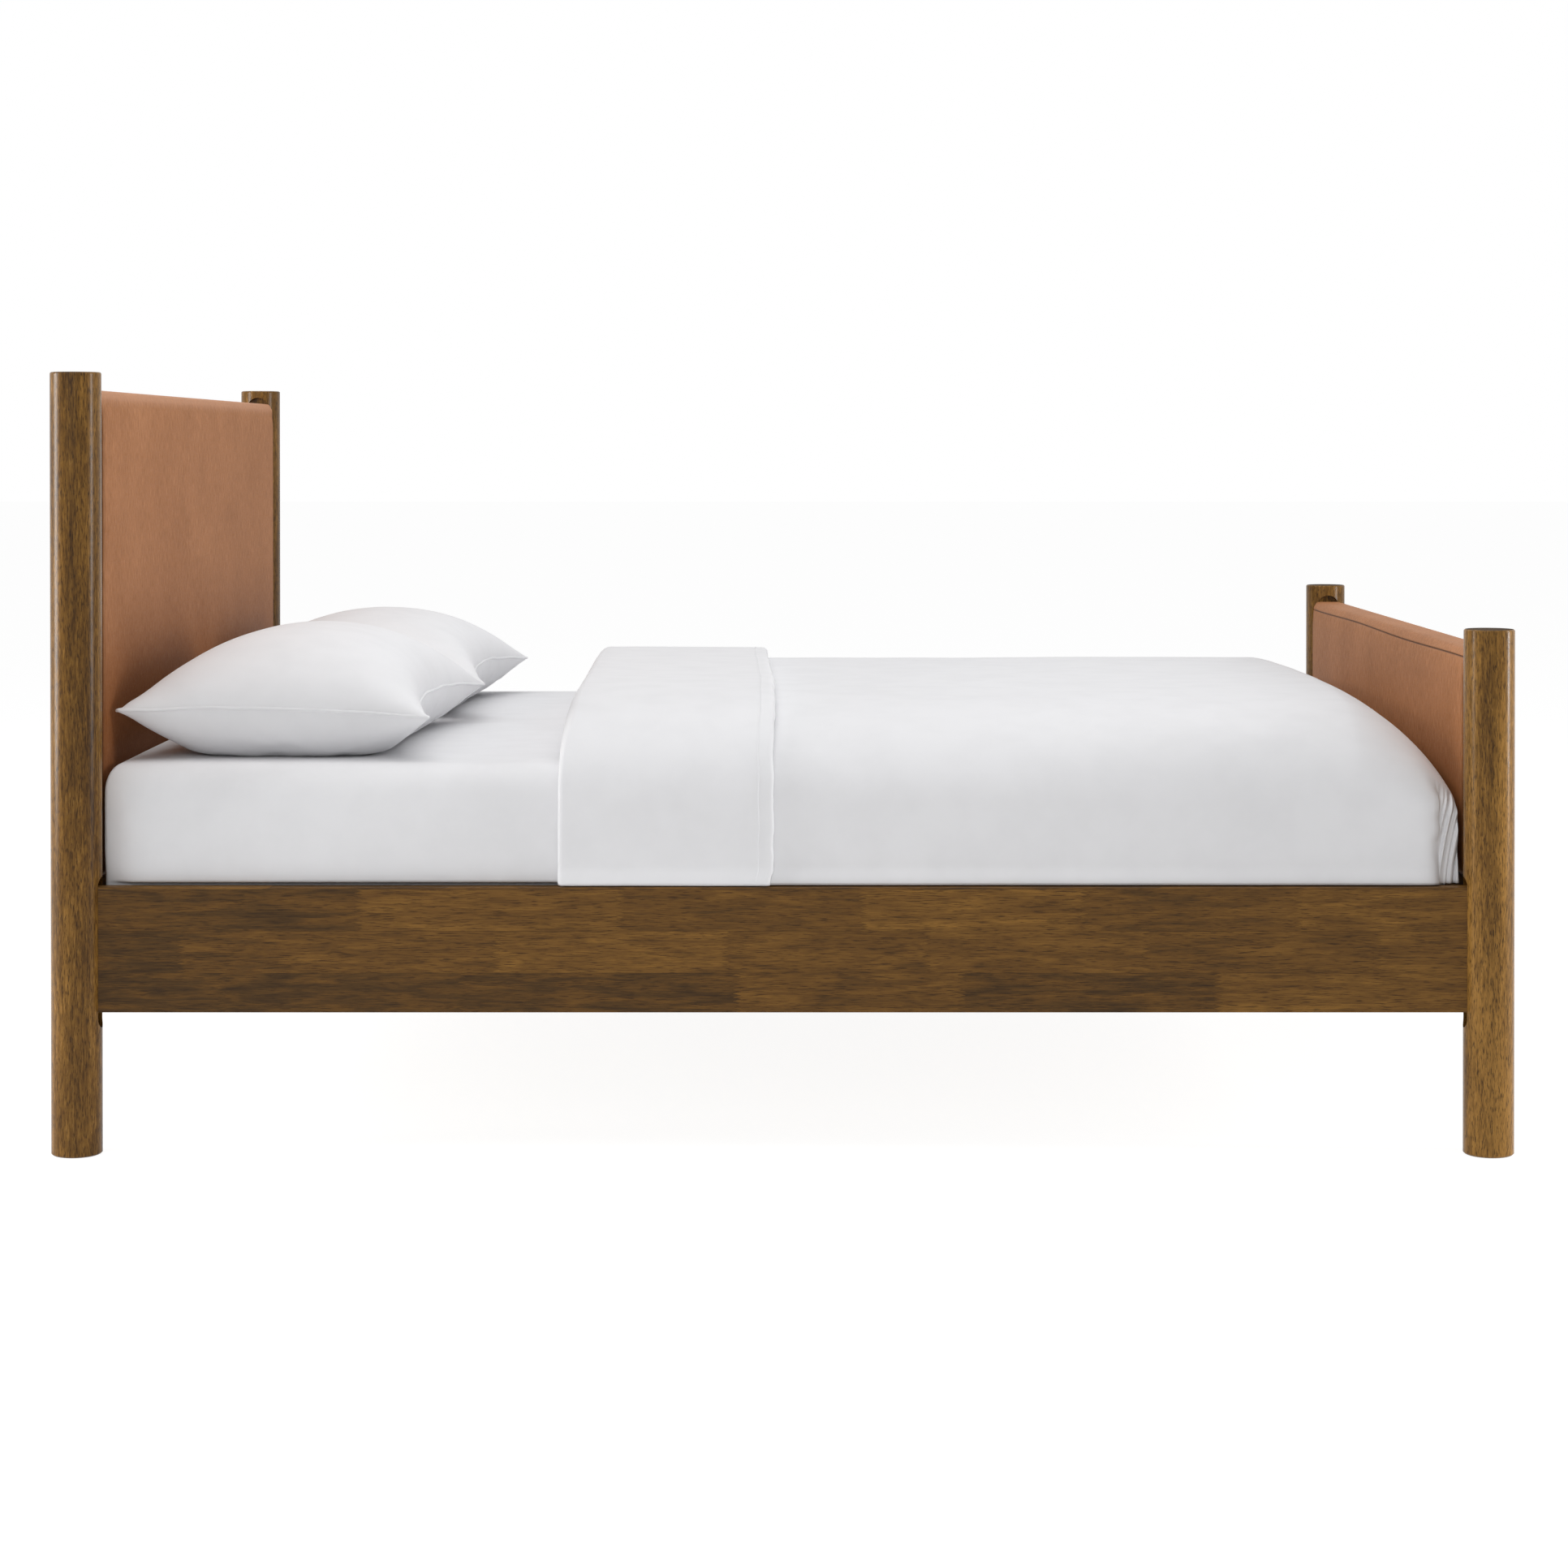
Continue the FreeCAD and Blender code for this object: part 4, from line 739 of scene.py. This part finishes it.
def make_duvet():
    """Duvet as one padded shell: cuff turned back at the head, drops at both sides, rolled over the foot."""
    inner_half, inner_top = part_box("fitted_sheet")[1].y + DUVET_CLEAR, SHEET_TOP + DUVET_CLEAR
    inner_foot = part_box("fitted_sheet")[1].x + 0.0012
    in_y, in_z = cover_line(inner_half, inner_top - 0.040, inner_top, power=24.0)
    body_y, body_z = cover_line(DUVET_HALF, DUVET_SHOULDER, DUVET_TOP)
    cuff_y, cuff_z = cover_line(DUVET_HALF + CUFF_PROUD, DUVET_SHOULDER, DUVET_TOP + CUFF_RISE)
    skew = -CUFF_SKEW * smooth(-0.75, 0.75, cuff_y)
    rows = []

    def row(x, y, z, outer):
        rows.append((np.broadcast_to(np.asarray(x, float), y.shape).copy(), y.copy(), z.copy(), outer))

    deep = np.hypot(cuff_y - in_y, cuff_z - in_z)
    nose = np.clip(0.3 * deep, 0.006, 0.022)
    walk = np.linspace(-1.0, 1.0, ACROSS)
    uneven = np.array([0.0030 * noise.noise(Vector((14 * w, 2.2, 0)))
                       + 0.0016 * noise.noise(Vector((37 * w, 5.1, 0))) for w in walk])
    hem_x = CUFF_HEM + skew + uneven - 0.005 * smooth(0.432, 0.405, cuff_z)
    head_y = in_y + side_swell(DUVET_HEAD, in_y, in_z)
    for angle in np.linspace(-90, 90, 19):
        turn, share = math.radians(angle), (1 + math.sin(math.radians(angle))) / 2
        row(DUVET_HEAD + skew + nose * (1 - math.cos(turn)), head_y + share * (cuff_y - head_y),
            in_z + share * (cuff_z - in_z), angle > -60)
    for x in np.linspace(DUVET_HEAD + 0.040, CUFF_HEM - 0.012, 27):
        row(x + skew + (hem_x - CUFF_HEM - skew) * smooth(-0.09, CUFF_HEM - 0.012, x), cuff_y, cuff_z, True)
    for angle in np.linspace(75, -90, 9):
        turn, share = math.radians(angle), (1 + math.sin(math.radians(angle))) / 2
        row(hem_x - 0.008 * (1 - math.cos(turn)), body_y + share * (cuff_y - body_y),
            body_z + share * (cuff_z - body_z), True)
    row(hem_x - 0.016, body_y, body_z, True)
    row(hem_x - 0.015, body_y, body_z, True)
    row(hem_x + 0.001, body_y, body_z, True)
    row(hem_x + 0.008, body_y, body_z, True)
    run, drop = foot_roll(body_y, body_z)
    first, last = CUFF_HEM + 0.030, DUVET_FOOT - run
    for share in np.linspace(0, 1, 58)[:-1]:
        row(first + share * (last - first), body_y, body_z, True)
    shares = np.concatenate([np.linspace(0, 0.8, 15)[:-1], 1 - 0.2 * (1 - np.linspace(0, 1, 40)) ** 1.8])
    for share in shares:
        z = body_z - drop * foot_fall(share)
        row(DUVET_FOOT - run * (1 - share), body_y, z, True)
    for cap in np.linspace(z.max() - 0.002, HEM, 30):
        row(DUVET_FOOT, body_y, np.minimum(z, cap), True)
    for cap in np.linspace(HEM, inner_top, 14):
        row(inner_foot, *press_foot(inner_foot, in_y, np.minimum(in_z, cap), 0.012, HEM), False)
    for x in np.linspace(inner_foot - 0.02, DUVET_HEAD + 0.03, 58):
        row(x, *press_foot(x, in_y + side_swell(x, in_y, in_z), in_z, 0.012, HEM), False)

    xs, ys, zs = (np.array([r[i] for r in rows]) for i in range(3))
    outer = np.array([r[3] for r in rows])[:, None] * np.ones_like(xs)
    xs, ys, zs = drape(xs, ys, zs, outer)
    count = len(rows)
    points = np.column_stack([xs.ravel(), ys.ravel(), zs.ravel()])
    faces = []
    for i in range(count):
        for j in range(ACROSS - 1):
            a, b = i * ACROSS + j, ((i + 1) % count) * ACROSS + j
            faces.append((a, a + 1, b + 1, b))
    middle = ACROSS // 2
    steps = np.abs(np.diff(xs[:, middle])) + np.abs(np.diff(zs[:, middle]))
    along = np.concatenate([[0], np.cumsum(steps)])
    weave = np.column_stack([np.repeat(along, ACROSS), np.tile(walk, count)])
    mesh = new_mesh("duvet_cover", points, faces, weave=weave, holes=True)
    duvet = new_piece("duvet_cover", mesh, "duvet", DUVET_COTTON, ("duvet",))
    sewn = np.argmin(np.abs(xs[:45, 0] - skew[0] - (CUFF_HEM - HEM_BAND)))
    out_y, out_z = np.gradient(zs[sewn]), -np.gradient(ys[sewn])
    size = np.hypot(out_y, out_z)
    cuff_line = np.column_stack([xs[sewn], ys[sewn] - 0.0003 * out_y / size, zs[sewn] - 0.0003 * out_z / size])
    grow_piece("duvet_hem_stitches", HEM_STITCHES, STITCH_SIZES, [cuff_line[2:-2]], "duvet",
               WHITE_THREAD)


def drape(xs, ys, zs, outer):
    """Soft unevenness of a filled cover: slow swells on top, hanging folds on the drops, a tuck at the foot."""
    flat = np.column_stack([xs.ravel(), ys.ravel(), zs.ravel()])
    slow = ripple(flat, (2.6, 2.6, 2.6), 1.7).reshape(xs.shape)
    quick = ripple(flat, (8.0, 8.0, 8.0), 9.1).reshape(xs.shape)
    side = np.sign(ys) * smooth(0.70, 0.775, np.abs(ys))
    top = 1 - np.abs(side)
    low = smooth(0.56, 0.43, zs)
    hung = np.column_stack([xs.ravel(), np.sign(ys).ravel(), 0.15 * zs.ravel()])
    hanging = ripple(hung, (5.0, 3.0, 5.0), 3.3).reshape(xs.shape)
    zs = zs + outer * top * (0.0016 * slow + 0.0007 * quick)
    flare = smooth(0.434, 0.405, zs)
    ys = ys + outer * side * (0.0015 * slow + 0.0022 * low * hanging + 0.006 * flare)
    corner = smooth(0.56, 0.775, np.abs(ys)) * smooth(0.965, 1.0205, xs)
    folded = smooth(0.735, 0.770, np.abs(ys)) * smooth(0.578, 0.545, zs)
    edge = 0.986 + 0.002 * np.sin(zs * 52.0) + 0.0012 * np.sin(zs * 131.0 + 1.0)
    step = smooth(0.0, 0.0045, xs - edge)
    sweep = xs - 0.12 * (zs - 0.40) - 0.7 * (zs - 0.40) ** 2
    lines = 0.8 * np.sin(sweep * 640.0 + 2.5 * quick)
    lines += 0.7 * np.sin(sweep * 410.0 + 1.0) + 0.3 * np.sin(sweep * 1150.0)
    lines = lines * smooth(0.987, 0.996, xs) * smooth(0.560, 0.525, zs)
    ys = ys - outer * np.sign(ys) * (0.012 * corner + folded * (0.011 * step + 0.0023 * lines))
    return xs, ys, zs


make_duvet()


# Pillows
CASE_COLUMNS, CASE_ROWS = 56, 84


def pillow_floor(y):
    """The level that a pillow rests at on the crowned sheet."""
    sheet_crown, sheet_half, clear = 0.005, 0.763, 0.0006
    return SHEET_TOP - sheet_crown * (y / sheet_half) ** 2 + clear


def pillow_shape(u, v, layer, side):
    """Points of a stuffed case: sides drawn in between the tips, a crowned top, the underside settled flat."""
    low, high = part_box("pillow_" + side)
    nudge, crown = (0.006, PILLOW_CROWN) if side == "left" else (0.014, PILLOW_CROWN - 0.012)
    half_x = PILLOW_HALF_X - PILLOW_WAIST_X * (1 - np.abs(v) ** 2.6)
    half_y = PILLOW_HALF_Y - PILLOW_WAIST_Y * (1 - np.abs(u) ** 2.6)
    x = (low.x + high.x) / 2 + nudge + u * half_x + 0.005 * v
    y = (low.y + high.y) / 2 + v * half_y
    full = np.maximum((1 - u * u) * (1 - np.abs(v) ** 2.9), 0.0)
    seam = SHEET_TOP + PILLOW_SEAM - 0.0055 * u + 0.008 * (1 - u * u) * v * v + 0.015 * (1 - v * v) * u * u
    flat = np.column_stack([x, y, 0.2 * np.sign(layer) + 0 * x])
    rim = np.maximum(np.abs(u), np.abs(v))
    pucker = 0.0036 * ripple(flat, (34.0, 34.0, 1.0), 2.0) * np.exp(-(1 - rim) / 0.05) * (rim < 0.9999)
    wavy = 0.0028 * ripple(flat * (1, 1, 0), (13.0, 13.0, 1.0), 6.0)
    top = seam + crown * full ** 0.527 + pucker
    rest, settle = pillow_floor(y), 0.008
    hung = seam - PILLOW_DEPTH * full ** 0.56 + pucker - rest - settle
    under = rest + np.where(hung < 0, settle * np.exp(np.minimum(hung, 0) / settle), hung + settle)
    z = np.where(layer > 0, top, np.where(layer < 0, under, seam)) + wavy * (1 - smooth(0.0, 0.4, full))
    return np.column_stack([x + (layer > 0) * 0.0124 * full ** 0.527, y, np.maximum(z, rest)])


def sewn_case():
    """Grids of point numbers for the two layers of a pillowcase that share the seam, with its flat map."""
    us = np.sin(np.linspace(-math.pi / 2, math.pi / 2, CASE_COLUMNS + 1))
    vs = np.sin(np.linspace(-math.pi / 2, math.pi / 2, CASE_ROWS + 1))
    layers, spots = {}, []
    for layer in (1, -1):
        grid = np.zeros((CASE_COLUMNS + 1, CASE_ROWS + 1), int)
        for i, u in enumerate(us):
            for j, v in enumerate(vs):
                seam = i in (0, CASE_COLUMNS) or j in (0, CASE_ROWS)
                if seam and layer < 0:
                    grid[i, j] = layers[1][i, j]
                else:
                    grid[i, j] = len(spots)
                    spots.append((u, v, 0 if seam else layer))
        layers[layer] = grid
    faces = []
    for layer, grid in layers.items():
        for i in range(CASE_COLUMNS):
            for j in range(CASE_ROWS):
                quad = [grid[i, j], grid[i + 1, j], grid[i + 1, j + 1], grid[i, j + 1]]
                faces.append([int(n) for n in (quad if layer > 0 else quad[::-1])])
    return np.array(spots), faces, layers


def stuff(name, points, faces, sewn):
    """Presses the filling out with cloth simulation, the seam held; the points move by 6 mm at most."""
    most_moved, last_frame = 0.006, 16
    mesh = bpy.data.meshes.new(name)
    mesh.from_pydata([tuple(p) for p in points], [], faces)
    case = bpy.data.objects.new(name, mesh)
    bpy.context.scene.collection.objects.link(case)
    case.vertex_groups.new(name="seam").add([int(n) for n in sewn], 1.0, "REPLACE")
    cloth = case.modifiers.new("Stuffing", "CLOTH")
    settings = cloth.settings
    settings.quality, settings.mass, settings.air_damping = 6, 0.3, 3.0
    settings.tension_stiffness, settings.compression_stiffness, settings.shear_stiffness = 40.0, 40.0, 20.0
    settings.bending_stiffness, settings.bending_damping = 1.5, 1.0
    settings.use_pressure, settings.uniform_pressure_force = True, 3.0
    settings.vertex_group_mass = "seam"
    settings.effector_weights.gravity = 0.0
    cloth.collision_settings.use_collision = False
    cloth.point_cache.frame_start, cloth.point_cache.frame_end = 1, last_frame
    for moment in range(1, last_frame + 1):
        bpy.context.scene.frame_set(moment)
    shaped = case.evaluated_get(bpy.context.evaluated_depsgraph_get())
    moved = np.array([tuple(v.co) for v in shaped.data.vertices]) - points
    bpy.context.scene.frame_set(1)
    bpy.data.objects.remove(case)
    bpy.data.meshes.remove(mesh)
    far = np.linalg.norm(moved, axis=1)[:, None]
    return points + moved * np.minimum(1.0, most_moved / np.maximum(far, 1e-9))


def lay_pillow(side):
    """One pillow: a stuffed case with piping in its seam and the hem of its flap on the foot side."""
    spots, faces, layers = sewn_case()
    u, v, layer = spots.T
    points = stuff("case_" + side, pillow_shape(u, v, layer, side), faces, np.flatnonzero(layer == 0))
    points[:, 2] = np.maximum(points[:, 2], pillow_floor(points[:, 1]))
    weave = np.column_stack([u * 0.26, v * 0.38])
    mesh = new_mesh("pillow_case_" + side, points, faces, weave=weave)
    body = "pillow_" + side
    pillow = new_piece("pillow_case_" + side, mesh, body, PILLOW_COTTON, (body,))
    finer = pillow.modifiers.new("Smooth cloth", "SUBSURF")
    finer.levels = finer.render_levels = 1
    grid = layers[1]
    loop = np.concatenate([grid[:-1, 0], grid[-1, :-1], grid[:0:-1, -1], grid[0, :0:-1]])
    under, columns, hem = layers[-1], u[layers[1][:, CASE_ROWS // 2]], []
    for j in range(5, CASE_ROWS - 4):
        flap_edge = 1 - 0.17 * (1 - v[grid[CASE_COLUMNS // 2, j]] ** 2)
        place = np.interp(flap_edge, columns, np.arange(CASE_COLUMNS + 1))
        i = int(place)
        hem.append(points[under[i, j]] * (1 - place + i) + points[under[i + 1, j]] * (place - i))
    flap = {"Cord radius": FLAP_HEM, "Spacing": 0.004}
    grow_piece("pillow_hem_" + side, CASE_PIPING, flap, [hem], body, PILLOW_COTTON)
    sizes = {"Cord radius": PIPING, "Spacing": 0.004}
    grow_piece("pillow_piping_" + side, CASE_PIPING, sizes, [points[loop]], body, PILLOW_COTTON,
               closed=True)


lay_pillow("left")
lay_pillow("right")


# Stage
def shown_rays(tree):
    """One for rays that the camera follows, straight or by gloss or glass, and nought for the light itself."""
    rays = add(tree, "ShaderNodeLightPath").outputs
    seen = calc(tree, "MAXIMUM", rays["Is Camera Ray"], rays["Is Glossy Ray"])
    return calc(tree, "MAXIMUM", seen, rays["Is Transmission Ray"])


def white_ground(name, share, lift):
    """Paper that the camera sees as white; a share of it takes the light, so the bed's shadow stays."""
    material, tree, _ = new_material(name)
    shade = tuple(share * c for c in linear(FLOOR_WHITE)[:3]) + (1.0,)
    lit = add(tree, "ShaderNodeBsdfDiffuse", {"Color": linear(FLOOR_WHITE)})
    faint = add(tree, "ShaderNodeBsdfDiffuse", {"Color": shade})
    light = add(tree, "ShaderNodeEmission", {"Color": (1.0, 1.0, 1.0, 1.0), "Strength": lift})
    bright = add(tree, "ShaderNodeAddShader", {0: faint, 1: light})
    paper = add(tree, "ShaderNodeMixShader", {0: shown_rays(tree), 1: lit, 2: bright})
    add(tree, "ShaderNodeOutputMaterial", {0: paper})
    return material


# Name, place, aim, width and height, watts
LAMPS = (
    ("overhead_softbox", (-0.4, -0.3, 4.4), (0.0, 0.0, 0.4), (5.5, 4.5), 125.0),
    ("front_softbox", (-1.8, -6.6, 2.8), (0.0, -0.6, 0.5), (4.6, 2.6), 64.0),
    ("left_softbox", (-4.1, -1.0, 1.3), (-1.06, -0.79, 1.1), (1.1, 2.1), 125.0),
    ("right_softbox", (4.1, -1.0, 1.3), (1.06, -0.79, 1.0), (0.30, 2.1), 94.0))
FILL_LIGHT, SEEN_WHITE = 0.31, 1.0
FLOOR_SHARE, FLOOR_LIFT = 0.3, 0.9


def softbox(name, place, aim, size, watts):
    data = bpy.data.lights.new(name, "AREA")
    data.shape, data.size, data.size_y, data.energy = "RECTANGLE", size[0], size[1], watts
    lamp = bpy.data.objects.new(name, data)
    lamp.location = place
    lamp.rotation_euler = (Vector(aim) - Vector(place)).to_track_quat("-Z", "Y").to_euler()
    bpy.context.scene.collection.objects.link(lamp)
    return lamp


def make_stage():
    """Pale floor, soft studio light and a white surround."""
    mesh = bpy.data.meshes.new("studio_floor")
    reach = 60.0
    corners = [(-reach, -reach, 0), (reach, -reach, 0), (reach, reach, 0), (-reach, reach, 0)]
    mesh.from_pydata(corners, [], [(0, 1, 2, 3)])
    floor = bpy.data.objects.new("studio_floor", mesh)
    bpy.context.scene.collection.objects.link(floor)
    mesh.materials.append(white_ground("white_paper", FLOOR_SHARE, FLOOR_LIFT))
    world = bpy.data.worlds.new("white_studio")
    bpy.context.scene.world = world
    world.use_nodes = True
    tree = world.node_tree
    tree.nodes.clear()
    level = remap(tree, shown_rays(tree), 0.0, 1.0, FILL_LIGHT, SEEN_WHITE)
    back = add(tree, "ShaderNodeBackground", {"Color": (1.0, 1.0, 1.0, 1.0), "Strength": level})
    add(tree, "ShaderNodeOutputWorld", {0: back})
    for lamp in LAMPS:
        softbox(*lamp)


def make_camera():
    """Level view square to the near side, the lens raised so that the posts stand upright."""
    data = bpy.data.cameras.new("side_view")
    data.lens, data.sensor_width = 73.36, 36.0
    tilt, level_shift = math.radians(0.5), -0.213
    data.shift_x, data.shift_y = -0.0262, level_shift + data.lens / data.sensor_width * math.tan(tilt)
    camera = bpy.data.objects.new("side_view", data)
    camera.location = (0.0637, -5.587, 1.059)
    camera.rotation_euler = (math.pi / 2 - tilt, 0.0, 0.0)
    bpy.context.scene.collection.objects.link(camera)
    bpy.context.scene.camera = camera


make_stage()
make_camera()
bpy.context.scene.view_settings.view_transform = "Standard"
